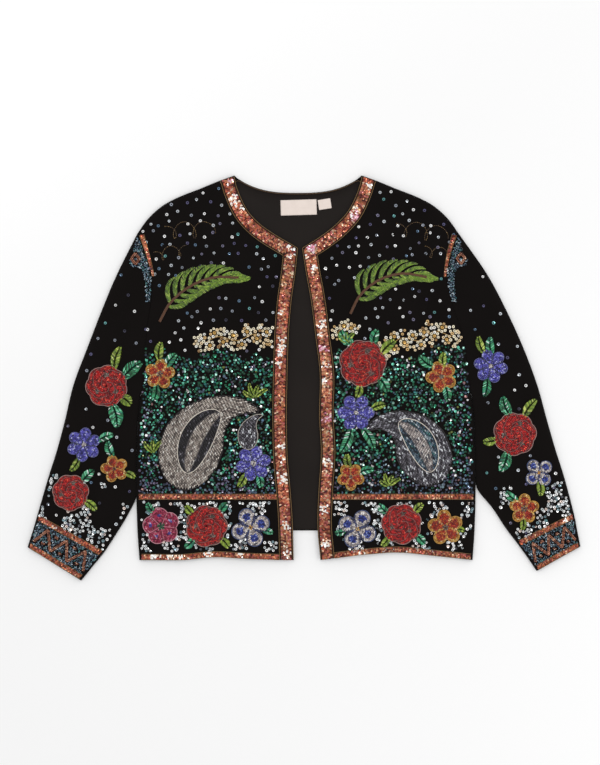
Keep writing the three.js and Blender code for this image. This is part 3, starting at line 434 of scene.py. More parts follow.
def wall(low, high):
    """A closed wall between two matching grids of points: both faces and the four edges."""
    rows, columns = low.shape[:2]
    count = rows * columns
    index = np.arange(count).reshape(rows, columns)
    face = grid_faces(rows, columns)
    rim = np.concatenate([index[0, :-1], index[:-1, -1], index[-1, :0:-1], index[:0:-1, 0]])
    after = np.roll(rim, -1)
    edge = rows_of(rim, after, after + count, rim + count)
    points = np.concatenate([low.reshape(-1, 3), high.reshape(-1, 3)])
    return outward(points, np.concatenate([face[:, ::-1], face + count, edge]))


def put_in(name, parts, stands_for=()):
    """One object from its parts: points in mm, faces of three or four corners, a tint for each point
    (or one for all) and a material. The tints are kept as the mesh's own attribute."""
    points, tints, corners, sizes, kinds, materials = [], [], [], [], [], []
    base = 0
    for part_points, part_faces, tint, material in parts:
        if material not in materials:
            materials.append(material)
        for faces in part_faces if isinstance(part_faces, list) else [part_faces]:
            corners.append((faces + base).ravel())
            sizes.append(np.full(len(faces), faces.shape[1]))
            kinds.append(np.full(len(faces), materials.index(material)))
        points.append(part_points)
        tints.append(np.broadcast_to(tint, (len(part_points), 4)))
        base += len(part_points)
    corners, sizes, kinds = (np.concatenate(numbers).astype(np.int32) for numbers in (corners, sizes, kinds))
    mesh = bpy.data.meshes.new(name)
    mesh.vertices.add(base)
    mesh.vertices.foreach_set("co", (np.concatenate(points) * 0.001).astype(np.float32).ravel())
    mesh.loops.add(len(corners))
    mesh.loops.foreach_set("vertex_index", corners)
    mesh.polygons.add(len(sizes))
    mesh.polygons.foreach_set("loop_start", (np.cumsum(sizes) - sizes).astype(np.int32))
    for material in materials:
        mesh.materials.append(material)
    mesh.polygons.foreach_set("material_index", kinds)
    mesh.update(calc_edges=True)
    mesh.validate()
    soft = np.array([not material.get("faceted", False) for material in materials])
    mesh.polygons.foreach_set("use_smooth", soft[kinds])
    tint = mesh.color_attributes.new("tint", "FLOAT_COLOR", "POINT")
    tint.data.foreach_set("color", np.concatenate(tints).astype(np.float32).ravel())
    made = in_the_scene(name, mesh)
    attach(made, "root")
    if stands_for:
        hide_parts(*stands_for)
    return made


def wall_ways(grid, level):
    """Which way a laid wall's thickness runs at each grid point: across the cloth, and level at an
    edge that turns over. level pairs these points with their neighbours, which each faces away from."""
    way = np.cross(np.gradient(grid, axis=1), np.gradient(grid, axis=0))
    way = unit(way * np.sign(way[..., 2:] + 1e-9))
    for edge, beside_it in level:
        way[edge] = unit((grid[edge] - grid[beside_it]) * (1, 1, 0))
    return way


def spaced(length, count, first=(0, 0.4, 1.0, 1.8, 3, 4.6, 7, 10)):
    """Shares from 0 to 1, closer together near 0 where the cloth turns over."""
    near = np.array(first) / length
    return np.concatenate([near[:-1], np.linspace(near[-1], 1, count)])


def filled(inner, outer, bottom, top, rise, across):
    """Rows of places between an inner and an outer line. rise holds each row's share from bottom to
    top, across each column's. Rows bend as the bottom line does at the bottom, and as the top line at
    the top, less and less away from it."""
    def bend(points):
        return part_way(points, across) - (points[0] + (points[-1] - points[0]) * across[:, None])

    v = rise[:, None, None]
    rows = inner[:, None] + (outer - inner)[:, None] * across[:, None]
    return rows + bend(bottom) * (1 - v) + bend(top) * v


def up_the_side(side, rows_below, rows_above):
    """Rows up the side seam and the armhole, closer together near the shoulder: how far up its own line
    each row is, their places, and their shares of the whole way."""
    seam, arm = side_seam(side), armhole(side)
    lower, upper = length_of(seam), length_of(arm)
    below = np.linspace(0, lower, rows_below, endpoint=False)
    above = (1 - spaced(upper, rows_above)[::-1]) * upper
    places = np.concatenate([along(seam, below), along(arm, above)])
    return below, above, places, np.concatenate([below, lower + above]) / (lower + upper)


# Lengths along the armhole above the underarm, and those along the front edge and neckline beside them.
ARM_STEPS = (0, 14, 51, 88, 125, 162, 199, 236)
EDGE_STEPS = (0, 42, 88, 134, 180, 222, 290)
NECK_STEP = 373


def front_cloth(side):
    """The grid of a front's middle and its wall."""
    below, above, outer, rise = up_the_side(side, 44, 52)
    edge, neck = front_edge(side), neckline(side)
    start = UNDERARM_Y - HEM_Y
    arm, end = length_of(armhole(side)), length_of(edge) + length_of(neck) - start
    steps = (*EDGE_STEPS, min(NECK_STEP, end - (arm - ARM_STEPS[-1])), end)
    beside_arm = start + np.interp(above, (*ARM_STEPS, arm), steps)
    up_edge = np.concatenate([below / length_of(side_seam(side)) * start, beside_arm])
    inner = along(np.concatenate([edge, neck[1:]]), up_edge)
    across = 1 - spaced(230, 46)[::-1]
    flat = filled(inner, outer, front_hem(side), shoulder_seam(side), rise, across)
    flat[len(below) + 1 :, -1, 0] -= side * HALF_GAP
    grid = raised(flat, layers(flat)[1])
    seam = slice(0, len(below) + 1)
    way = wall_ways(grid, [((-1, slice(None)), (-2, slice(None))), ((seam, -1), (seam, -2))])
    return grid, wall(grid - way * WALL / 2, grid + way * WALL / 2)


# Black crepe: a fine pebbled weave that lets very little light back.
finish = Finish("black_crepe")
pebble = finish.texture("TexNoise", scale=900, detail=4)
broad = finish.texture("TexNoise", scale=14, detail=3)
weft = finish.texture("TexWave", scale=420, distortion=1.5, bands_direction="Y")
broad = finish.node("Math", "Value", {0: broad, 1: 0.6}, operation="MULTIPLY")
shade = finish.node("Math", "Value", {0: pebble, 1: 0.45, 2: broad}, operation="MULTIPLY_ADD")
relief = finish.node("Math", "Value", {0: pebble, 1: weft}, operation="ADD")
crepe = finish.shader(
    0.85, 0.07, Base_Color=finish.ramp(shade, colour(7, 5, 4), colour(20, 16, 15)),
    Normal=finish.bump(relief, 0.35, 0.0003), Sheen_Weight=0.03, Sheen_Roughness=0.5,
)
BLACK = (0, 0, 0, 1)


for side, name in SIDES.items():
    grid, shell = front_cloth(side)
    front = put_in(f"front_{name}_cloth", [(*shell, BLACK, crepe)], [f"front_{name}"])

# The back, cut in one, rests on the table. Its outer face is down; between the fronts and in the
# neck its charcoal lining shows, sewn 2 mm inside the neck edge and turned up at the hem.
FACE_DOWN = 0.35  # the outer face's height above the table, on the sequins sewn to it


def back_cloth():
    """The grid of the back's middle and its wall."""
    below, _, left, rise = up_the_side(-1, 40, 46)
    right = up_the_side(1, 40, 46)[2]
    top = np.concatenate([shoulder_seam(-1)[::-1], back_neck()[1:-1], shoulder_seam(1)])
    neck = length_of(shoulder_seam(1)) / length_of(top)
    rim = spaced(500, 2)[:-1]
    half = np.concatenate([rim, np.linspace(rim[-1] + 0.01, neck, 12)])
    across = np.concatenate([half, np.linspace(neck, 1 - neck, 26)[1:-1], 1 - half[::-1]])
    flat = filled(left, right, back_hem(), top, rise, across)
    flat[len(below) + 1 :, [0, -1], 0] += (HALF_GAP, -HALF_GAP)
    grid = raised(flat, layers(flat)[0])
    seam = slice(0, len(below) + 1)
    on_shoulder = np.flatnonzero((across <= neck + 1e-6) | (across >= 1 - neck - 1e-6))
    level = [((seam, 0), (seam, 1)), ((seam, -1), (seam, -2)), ((-1, on_shoulder), (-2, on_shoulder))]
    way = wall_ways(grid, level)
    way = np.where(way[..., 2:] < 0.02, -way, way)
    lower_face = grid - way * WALL / 2
    lower_face[..., 2] = np.maximum(lower_face[..., 2], FACE_DOWN)
    return grid, wall(lower_face, grid + way * WALL / 2)


back_grid, shell = back_cloth()
back = put_in("back_cloth", [(*shell, BLACK, crepe)], ["back"])


def lining_cloth():
    """The back's own grid drawn in at the sides, 2 mm below the neck edge, in a few soft lengthwise folds."""
    grid = back_grid[:-5, 9:-9].copy()
    top = back_grid[-1:, 9:-9].copy()
    half = np.abs(top[..., 0] - lean(NECK_Y))
    top[..., 1] -= 2 + 8 * ease((half - NECK_HALF + 6) / 8)
    grid = grid[grid[:, 20, 1] < top[0, :, 1].min() - 4]
    grid = np.concatenate([grid, (grid[-1:] + top) / 2, top])
    grid[0, :, 1] += 1.2
    x, y = grid[..., 0], grid[..., 1]
    soft = 0.35 * np.sin(x / 17 + 0.6 * np.sin(y / 60)) * ease((260 - np.abs(y)) / 60)
    grid[..., 2] = 3.1 + soft
    return grid, wall(grid - (0, 0, 0.5), grid + (0, 0, 0.35))


finish = Finish("lining_twill")
slanted = finish.node("Mapping", "Vector", {
    "Vector": finish.node("TexCoord", "Object", {}), "Rotation": (0, 0, math.radians(45)),
})
twill = finish.texture("TexWave", slanted, scale=300, distortion=0.6)
cloud = finish.texture("TexNoise", scale=9)
lining_finish = finish.shader(
    0.6, 0.1, Base_Color=finish.ramp(cloud, colour(23, 19, 17), colour(35, 29, 26)),
    Normal=finish.bump(twill, 0.25), Sheen_Weight=0.04,
)
grid, shell = lining_cloth()
lining = put_in("lining_cloth", [(*shell, BLACK, lining_finish)], ["back_lining"])
lining_edge = grid[-1]

# Sleeves: each a tube pressed flat, set into the armhole and wide down to a straight cuff. The
# upper layer lies on the lower one, and the two turn into each other in a soft fold at each side.
BOW = (0, 13, 13, 8, 4, 0, 0, 0, 0, 0, 0)  # how far the part near the inner fold swings out, by station


def square_to(way, other):
    """A way less its part along another."""
    return way - other * (np.sum(way * other, -1) / (np.sum(other * other, -1) + 1e-9))[..., None]


def sleeve_cloth(side, stations=70, across=34):
    """Rings from the armhole to the cuff, and the wall. Each ring crosses from the outer fold to the inner
    one on top and comes back below. The first follows the armhole, and the next ones less and less."""
    arm, t = armhole(side), np.linspace(0, len(BOW) - 1, stations)
    outer, inner = rounded_at(outer_fold(side), t), rounded_at(inner_fold(side), t)
    near = spaced(100, across // 2)[:-1] / 2
    u = np.concatenate([near, [0.5], 1 - near[::-1]])
    on_arm = part_way(arm, 1 - u)
    bend = on_arm - (arm[-1] + (arm[0] - arm[-1]) * u[:, None])
    flat = outer[:, None] + (inner - outer)[:, None] * u[:, None]
    flat = flat + bend * (np.clip(1 - t / 6, 0, 1) ** 2)[:, None, None]
    flat[..., 0] += side * np.interp(t, np.arange(len(BOW)), BOW)[:, None] * (u**5 * (1 - u) / 0.067)
    beside_arm = HALF_GAP + (BESIDE_BODY - HALF_GAP) * (1 - ease(length_of(arm) * (1 - u) / 8))
    flat[0] = on_arm + rows_of(side * beside_arm, 0)
    low, high = layers(flat)
    low[:, [0, -1]] = high[:, [0, -1]] = SEAM_HEIGHT
    ring = np.concatenate([raised(flat, high), raised(flat, low)[:, -2:0:-1]], 1)
    columns = len(u)
    sign = np.where(np.arange(ring.shape[1]) < columns, 1, -1)
    round_it = np.roll(ring, -1, 1) - np.roll(ring, 1, 1)
    way = unit(np.cross(round_it, np.gradient(ring, axis=0)))
    way *= (np.sign(way[..., 2] + 1e-9) * sign)[..., None]
    for column, near_column in ((0, 1), (columns - 1, columns - 2)):
        seam = np.gradient(ring[:, column], axis=0)
        seam[0] = 0
        way[:, column] = unit(square_to(ring[:, column] - ring[:, near_column], seam) * (1, 1, 0))
    cross = unit(rows_of(-round_it[0, :, 1], round_it[0, :, 0], 0.0))
    way[0, 1:-1] = square_to(way[0, 1:-1], cross[1:-1])
    way[0] = unit(way[0])
    outer_face = ring + way * WALL / 2
    outer_face[..., 2] = np.where(sign > 0, outer_face[..., 2], np.maximum(outer_face[..., 2], FACE_DOWN))
    points = np.concatenate([outer_face, (ring - way * WALL / 2)[::-1]])
    faces = grid_faces(len(points) + 1, ring.shape[1], closed=True) % (points.size // 3)
    return ring, outward(points.reshape(-1, 3), faces)


for side, name in SIDES.items():
    rings, shell = sleeve_cloth(side)
    sleeve = put_in(f"sleeve_{name}_cloth", [(*shell, BLACK, crepe)], [f"sleeve_{name}"])
    rings = np.concatenate([rings, rings[:, :1]], 1)

# Labels in the back neck: a woven satin one and a small size tag beside it. Both are blank.
# Their ends curl up a little from the lining.
finish = Finish("label_satin")
satin = finish.texture("TexWave", scale=350, distortion=0.4, bands_direction="Y")
cloud = finish.texture("TexNoise", scale=120)
shade = finish.ramp(cloud, colour(222, 208, 199), colour(240, 226, 217))
label_finish = finish.shader(0.5, 0.3, Base_Color=shade, Normal=finish.bump(satin, 0.3, 0.0001))
for name, node_name, x, y, wide, deep, turn in (
    ("neck_label", "label", -8, 256, 54, 23, 1.6), ("size_tag", "size_label", 31, 261, 19, 15, 9),
):
    u, v = np.meshgrid(np.linspace(-0.5, 0.5, 25), np.linspace(-0.5, 0.5, 13))
    curl = 0.5 * (2 * np.abs(v)) ** 6 + 0.15 * np.sin(u * 9)
    low = raised(turned(rows_of(u * wide, v * deep), turn) + (x, y), 3.95 + 0.3 * curl)
    tag = put_in(name, [(*wall(low, low + (0, 0, 0.6)), BLACK, label_finish)], [node_name])

# The design, drawn on the cloth before anything is sewn down: where each padded motif, leaf and
# fern spray lies, and its outline. The sequin grounds stop short of these outlines.
FLOWER_KINDS = {  # petals, notch between them, rise
    "rose": (7, 0.1, 2.4), "blossom": (5, 0.4, 1.8), "aster": (6, 0.36, 1.8), "bloom": (4, 0.5, 1.8),
    "pink_bloom": (5, 0.22, 2.2),
}
FLOWERS = {  # x, y, radius, turn; a name starts with its kind
    "rose_front": (88, 22, 35, 8), "rose_hem_left": (-146, -222, 31, 0),
    "rose_hem_right": (146, -219, 30, 20), "rose_sleeve_left": (-296, -12, 31, 30),
    "rose_cuff_left": (-350, -172, 27, 12), "rose_sleeve_right": (316, -84, 32, 5),
    "blossom_side_left": (-216, 6, 22, 10), "blossom_side_right": (206, 2, 23, 40),
    "blossom_hem": (212, -224, 26, 25), "blossom_waist": (70, -148, 20, 55),
    "blossom_sleeve_left": (-284, -136, 20, 33), "blossom_cuff_right": (330, -196, 22, 15),
    "aster_front_left": (-76, -128, 26, 15), "aster_front_right": (78, -52, 27, 0),
    "aster_sleeve_left": (-330, -100, 25, 22), "aster_sleeve_right": (280, 18, 25, 48),
    "bloom_hem_left": (-80, -224, 29, 20), "bloom_hem_right": (80, -226, 29, 65),
    "bloom_sleeve_right": (352, -142, 22, 40), "pink_bloom_hem": (-214, -222, 27, 30),
}


def step_at(angle, *level):
    """A step of one at an angle from +X, on the table or, with a level of 0, in space."""
    return rows_of(np.cos(angle), np.sin(angle), *level)


def kind_of(name):
    return next(kind for kind in FLOWER_KINDS if name.startswith(kind))


def on_flower(name, share, around, grow=0):
    """Places on a flower: reach = share * radius * (1 - notch + notch * |cos(petals * around / 2)| ^ 0.8)."""
    x, y, radius, turn = FLOWERS[name]
    petals, notch, _ = FLOWER_KINDS[kind_of(name)]
    reach = share * radius * (1 - notch + notch * np.abs(np.cos(around * petals / 2)) ** 0.8) + grow
    return reach[..., None] * step_at(around + math.radians(turn)) + (x, y)


PAISLEYS = {  # x, y, length, width, direction of its round end's heading, curl to the tip
    "paisley_left": (-166, -96, 196, 94, 84, -118), "paisley_small_left": (-84, -84, 62, 30, 100, -95),
    "paisley_right": (176, -104, 160, 82, 98, 128),
}
PAISLEY_WIDTH = [
    (0, 0.1), (0.04, 0.46), (0.12, 0.76), (0.25, 0.98), (0.38, 1), (0.52, 0.84), (0.66, 0.58), (0.8, 0.34),
    (0.92, 0.18), (1, 0.07),
]  # share along its spine, share of its width
SPINE_STEPS, SPINE_MIDDLE = 96, 36


def half_width(name, t):
    return read(PAISLEY_WIDTH, 1, t) * PAISLEYS[name][3] / 2


def spine_left(name, t):
    """The angle to the left of a paisley's spine, which turns by curl * t squared."""
    return np.radians(PAISLEYS[name][4] + PAISLEYS[name][5] * t**2 + 90)


def on_paisley(name, t, off):
    """Places on a paisley at share t along its spine and a distance off it."""
    x, y, length = PAISLEYS[name][:3]
    ahead = spine_left(name, (np.arange(SPINE_STEPS) + 0.5) / SPINE_STEPS) - np.pi / 2
    spine = np.concatenate([[(0, 0)], np.cumsum(step_at(ahead), 0)]) * length / SPINE_STEPS
    spine = spine - spine[SPINE_MIDDLE] + (x, y)
    return along(spine, t * length) + np.asarray(off)[..., None] * step_at(spine_left(name, t))


def paisley_outline(name, grow=0):
    t = np.concatenate([[0, 0.01, 0.02, 0.04], np.linspace(0.06, 1, 48)])
    off = half_width(name, t) + grow
    return np.concatenate([on_paisley(name, t, off), on_paisley(name, t[::-1], -off[::-1])])


SPRIGS = {  # leaves beside a flower: where round it, length, width, lean, colour
    "rose_front": [
        (118, 32, 16, 12, "emerald"), (262, 24, 12, -6, "lime"), (24, 34, 15, 20, "lime"),
        (58, 28, 14, 18, "emerald"), (318, 30, 15, -16, "emerald"),
    ],
    "rose_sleeve_left": [
        (64, 40, 14, 10, "lime"), (24, 40, 20, 16, "emerald"), (286, 40, 21, -4, "emerald"),
        (322, 22, 17, 0, "lime"),
    ],
    "rose_cuff_left": [(38, 30, 14, 10, "emerald"), (330, 26, 12, -10, "lime")],
    "rose_sleeve_right": [
        (62, 36, 14, -8, "lime"), (104, 34, 17, 6, "emerald"), (246, 36, 18, 4, "emerald"),
        (196, 24, 13, -6, "lime"),
    ],
    "aster_sleeve_left": [(14, 28, 12, 8, "emerald"), (250, 26, 11, -14, "lime")],
    "aster_sleeve_right": [
        (250, 32, 13, 12, "emerald"), (118, 30, 12, -10, "lime"), (82, 30, 13, 14, "emerald"),
    ],
    "bloom_sleeve_right": [(268, 26, 12, 8, "lime")],
    "blossom_cuff_right": [(128, 26, 12, 12, "emerald"), (262, 20, 10, 4, "lime")],
    "blossom_sleeve_left": [(96, 28, 13, 12, "emerald"), (340, 20, 10, -8, "lime")],
    "blossom_side_left": [(92, 32, 14, -8, "lime"), (46, 30, 14, 6, "emerald"), (250, 28, 13, 10, "emerald")],
    "blossom_side_right": [
        (128, 30, 14, 14, "emerald"), (78, 26, 12, 8, "lime"), (290, 28, 13, -10, "emerald"),
    ],
    "aster_front_right": [
        (252, 46, 15, -6, "emerald"), (288, 42, 14, 12, "emerald"), (12, 26, 12, 6, "lime"),
    ],
    "aster_front_left": [(292, 22, 12, -10, "emerald"), (232, 26, 12, 8, "lime")],
    "blossom_waist": [(96, 24, 12, 4, "lime"), (24, 26, 12, -10, "emerald")],
    "rose_hem_left": [
        (44, 22, 12, 8, "emerald"), (318, 22, 12, -6, "lime"), (138, 20, 11, -8, "lime"),
        (222, 22, 12, 6, "emerald"),
    ],
    "rose_hem_right": [
        (40, 22, 12, 6, "lime"), (140, 22, 12, -4, "emerald"), (224, 20, 11, 8, "lime"),
        (322, 22, 12, -8, "emerald"),
    ],
    "bloom_hem_left": [(345, 18, 10, 0, "emerald")], "bloom_hem_right": [(190, 18, 10, 0, "emerald")],
    "blossom_hem": [(350, 16, 9, 0, "lime")], "pink_bloom_hem": [(118, 20, 11, 6, "emerald")],
}
TUFTS = [(-74, -30, 4, 26), (64, 52, 3, 22), (128, -162, 4, 22), (-226, -112, 3, 24)]  # x, y, blades, length
leaves = []  # x, y, heading, length, width, colour
for name, rows in SPRIGS.items():
    for around, length, width, tilt, dye in rows:
        x, y = on_flower(name, 0.86, np.radians([around - FLOWERS[name][3]]))[0]
        leaves.append((x, y, around + tilt, length, width, dye))
for x, y, blades, length in TUFTS:
    for k in range(blades):
        leaves.append((x, y, 90 + 38 * (k - (blades - 1) / 2), length * (1 - 0.12 * (k % 2)), 7, "lime"))


LEAF_BOW = 0.08  # of its length, how far a leaf's middle bends aside


def on_leaf(leaf, t, across, grow=0):
    """Half width = width / 2 * sin(pi * t ^ 0.8) ^ 0.8, from the foot at 0 to the point at 1."""
    x, y, heading, length, width, _ = leaf
    t = np.clip(t, 0, 1)
    half = (width / 2 + grow) * np.sin(np.pi * t**0.8) ** 0.8
    bow = LEAF_BOW * length * np.sin(np.pi * t)
    return turned(rows_of(t * (length + grow), across * half + bow), heading) + (x, y)


GARLANDS = [  # ivory swags along the top of the ground: places along the middle, and half the width
    ([(-150, 52), (-128, 62), (-100, 56), (-74, 66), (-52, 60)], 15),
    ([(48, 66), (62, 78), (76, 74)], 9),
    ([(126, 44), (146, 60), (172, 56), (196, 70), (222, 62)], 15),
]
FERNS = [  # the stem's places from the foot, and the longest leaflet
    ([(-216, 84), (-200, 112), (-172, 136), (-136, 150), (-98, 150)], 40),
    ([(70, 96), (85, 124), (112, 146), (147, 156), (184, 151)], 40),
]


def inside(loop, p):
    """Even-odd rule: a place is in a closed line if a ray to its right crosses it an odd number of times."""
    a, b = loop, np.roll(loop, -1, 0)
    x, y = p[:, :1], p[:, 1:]
    rise = np.where(b[:, 1] == a[:, 1], 1, b[:, 1] - a[:, 1])
    at = a[:, 0] + (y - a[:, 1]) * (b[:, 0] - a[:, 0]) / rise
    return (((a[:, 1] > y) != (b[:, 1] > y)) & (x < at)).sum(1) % 2 == 1


def front_outline(side):
    up = [front_hem(side), side_seam(side), armhole(side)]
    return np.concatenate([*up, *(f(side)[::-1] for f in (shoulder_seam, neckline, front_edge))])


def sleeve_outline(side):
    outer, inner = sleeve_folds(side)
    return np.concatenate([armhole(side)[::-1], inner, outer[::-1]])


round_the = np.linspace(0, 2 * np.pi, 72, endpoint=False)


def clear(p, from_edge=0, from_bands=0, gap=1.4):
    """Whether places are clear of every flower, paisley and leaf by a gap, and farther than given from
    the garment's edges and from the lines that the bands follow."""
    bands = [f(side)[::3] for side in SIDES for f in (front_edge, neckline)]
    free = edge_distance(p) > from_edge
    free &= np.all([distance_to(points, p) > from_bands for points in bands], axis=0)
    run = np.linspace(0, 1, 12)
    loops = [on_flower(name, 1, round_the, gap) for name in FLOWERS]
    loops += [paisley_outline(name, gap) for name in PAISLEYS]
    for leaf in leaves:
        loops.append(np.concatenate([on_leaf(leaf, run[::sign], sign, gap - 0.6) for sign in (1, -1)]))
    for loop in loops:
        near = free & (p > loop.min(0) - 1).all(1) & (p < loop.max(0) + 1).all(1)
        free[near] = ~inside(loop, p[near])
    return free


def in_a_garland(p, grow=0):
    """Within half a swag's width of its middle, the edge ruffled by a fifth of that in small waves."""
    x, y = p.T
    ruffle = 1 + 0.2 * np.sin(x / 3.7 + 1.3 * np.sin(y / 5.1)) * np.sin(y / 4.3 + x / 19)
    swags = [distance_to(rounded(middle, 40), p) < half * ruffle + grow for middle, half in GARLANDS]
    return np.any(swags, axis=0)


def near_a_fern(p):
    return np.any([distance_to(rounded(stem, 40), p) < 0.5 * leaflet for stem, leaflet in FERNS], axis=0)


# Copper sequin bands round the neck and down the front edges, meeting in a mitre at each top corner.
# Rows of small lapped sequins in copper, maroon and rose are sewn on an umber tape, with a bronze
# twisted thread along each side.
def finish_of_tint(name, roughness, metallic, specular, spread, scale, coat=0.0, sheen=0.0, bump=0.2):
    """A finish coloured by each piece's own tint, which a fine grain lightens and darkens by spread."""
    made = Finish(name)
    grain = made.texture("TexNoise", scale=scale, detail=3)
    shade = made.node("MapRange", "Result", {
        "Value": grain, "From Min": 0.3, "From Max": 0.7, "To Min": 1 - spread, "To Max": 1 + spread,
    })
    rough = made.node("MapRange", "Result", {
        "Value": grain, "To Min": roughness * 0.7, "To Max": roughness * 1.3,
    })
    tint = made.node("Attribute", "Color", {}, attribute_name="tint")
    tint = made.node("VectorMath", "Vector", {0: tint, "Scale": shade}, operation="SCALE")
    return made.shader(
        rough, specular, Base_Color=tint, Metallic=metallic, Normal=made.bump(grain, bump), Coat_Weight=coat,
        Coat_Roughness=0.1, Sheen_Weight=sheen,
    )


foil = finish_of_tint("sequin_foil", 0.2, 0.8, 0.5, 0.18, 1400, coat=0.3)
foil["faceted"] = True
thread = finish_of_tint("twisted_thread", 0.6, 0.1, 0.3, 0.35, 2600, sheen=0.2, bump=0.6)
backing = finish_of_tint("dyed_felt", 0.9, 0.0, 0.1, 0.3, 900, sheen=0.1, bump=0.5)


def two_triangles(quads):
    return np.concatenate([quads[:, [0, 1, 2]], quads[:, [0, 2, 3]]])


def corners_of(count):
    """The angles of a ring's corners, the number of each corner and that of the next one."""
    i = np.arange(count)
    return i * 2 * np.pi / count, i, (i + 1) % count


def sequin(corners=7, cup=0.2):
    """A closed shallow cup of radius 1: a rim lifted by cup, a top centre a little lower and a foot at 0."""
    angle, i, j = corners_of(corners)
    faces = np.concatenate([rows_of(i, j, corners), rows_of(j, i, corners + 1)])
    return np.concatenate([raised(step_at(angle), cup), [(0, 0, cup * 0.5), (0, 0, 0)]]), faces


def dyes(*colours_and_shares, strength=0.68):
    """Screen colours with the share of each, as tints and chances. A lit bead looks lighter than its
    dye, so the dyes are let down by a strength."""
    tints = np.array([colour(*c[:3]) for c in colours_and_shares]) * (strength, strength, strength, 1)
    shares = np.array([c[3] for c in colours_and_shares], float)
    return tints, shares / shares.sum()


def dyed(palette, spread, count):
    """Tints drawn from a palette, each made lighter or darker by up to spread."""
    tints, shares = palette
    picked = tints[chance.choice(len(tints), count, p=shares)].copy()
    picked[:, :3] *= chance.uniform(1 - spread, 1 + spread, (count, 1))
    return picked


def sewn(shape, spot, size, turn, tint, material, tip=0.1, slope=0.0):
    """Copies of a small shape at places: each is sized, turned, tipped at random and leant forward."""
    (points, faces), (place, up) = shape, spot
    ahead = step_at(turn, 0.0)
    up = unit(up + chance.normal(0, 1, up.shape) * (tip, tip, 0) - slope * ahead)
    ahead = unit(square_to(ahead, up))
    axes = np.stack([ahead, np.cross(up, ahead), up], -1)
    sized = points * np.broadcast_to(size, place.shape)[:, None]
    placed = (np.einsum("nij,nkj->nki", axes, sized) + place[:, None]).reshape(-1, 3)
    copies = (faces + len(points) * np.arange(len(place))[:, None, None]).reshape(-1, faces.shape[1])
    return placed, copies, np.repeat(tint, len(points), 0), material


def cord(path, thick, tint, closed=False, sides=6):
    """A round thread along a path in space: rings square to it, and a flat cap at each end."""
    ahead = np.roll(path, -1, 0) - np.roll(path, 1, 0)
    if not closed:
        ahead[0], ahead[-1] = path[1] - path[0], path[-1] - path[-2]
    ahead = unit(ahead)
    across = unit(np.cross((0, 0, 1), ahead))
    over = np.cross(ahead, across)
    angle = corners_of(sides)[0][:, None]
    ring = across[:, None] * np.cos(angle) + over[:, None] * np.sin(angle)
    points = (path[:, None] + thick / 2 * ring).reshape(-1, 3)
    if closed:
        faces = grid_faces(len(path) + 1, sides, closed=True) % len(points)
    else:
        tube = grid_faces(len(path), sides, closed=True)
        cap = np.array([(0, 1, 2, 3), (0, 3, 4, 5)])
        faces = np.concatenate([tube, cap[:, ::-1], cap + len(points) - sides])
    return *outward(points, faces), tint, thread


def laid_cord(points, thick, above, tint, step=4.0, closed=False):
    """A thread laid on the garment along a line, a little above its face."""
    if closed:
        points = np.concatenate([points, points[:1]])
    count = max(3, round(length_of(points) / step))
    places = part_way(points, np.linspace(0, 1, count, endpoint=not closed))
    return cord(raised(places, on_top(places) + above), thick, tint, closed)


def beside(points, distance, turn):
    """A line moved sideways: to its left for a turn of 1, to its right for -1."""
    first, last = points[1:2] - points[:1], points[-1:] - points[-2:-1]
    ahead = unit(np.concatenate([first, points[2:] - points[:-2], last]))
    return points + np.reshape(distance, (-1, 1)) * turn * rows_of(-ahead[:, 1], ahead[:, 0])


def pad(flat, height, foot, felt):
    """A strip or pad of felt on the cloth, from a grid of places and its height above the cloth at each."""
    ground = on_top(flat)
    return *wall(raised(flat, ground + foot), raised(flat, ground + height)), felt, backing


def in_rows(a, b, rows, pitch, inset):
    """Places and headings in rows side by side between two lines, each second row half a pitch on."""
    share = np.linspace(0, 1, 160)
    near, far = part_way(a, share), part_way(b, share)
    width = np.linalg.norm(far - near, axis=1)[:, None]
    places, steps = [], []
    for k in range(rows):
        row = near + (far - near) * (inset + (k + 0.5) / rows * (width - 2 * inset)) / width
        at = np.arange(pitch * (0.5 + 0.5 * (k % 2)), length_of(row) - 0.3 * pitch, pitch)
        places.append(along(row, at))
        steps.append(along(row, at + 0.3) - along(row, at - 0.3))
    return np.concatenate(places), heading_of(np.concatenate(steps))


def heading_of(steps):
    return np.arctan2(steps[:, 1], steps[:, 0])
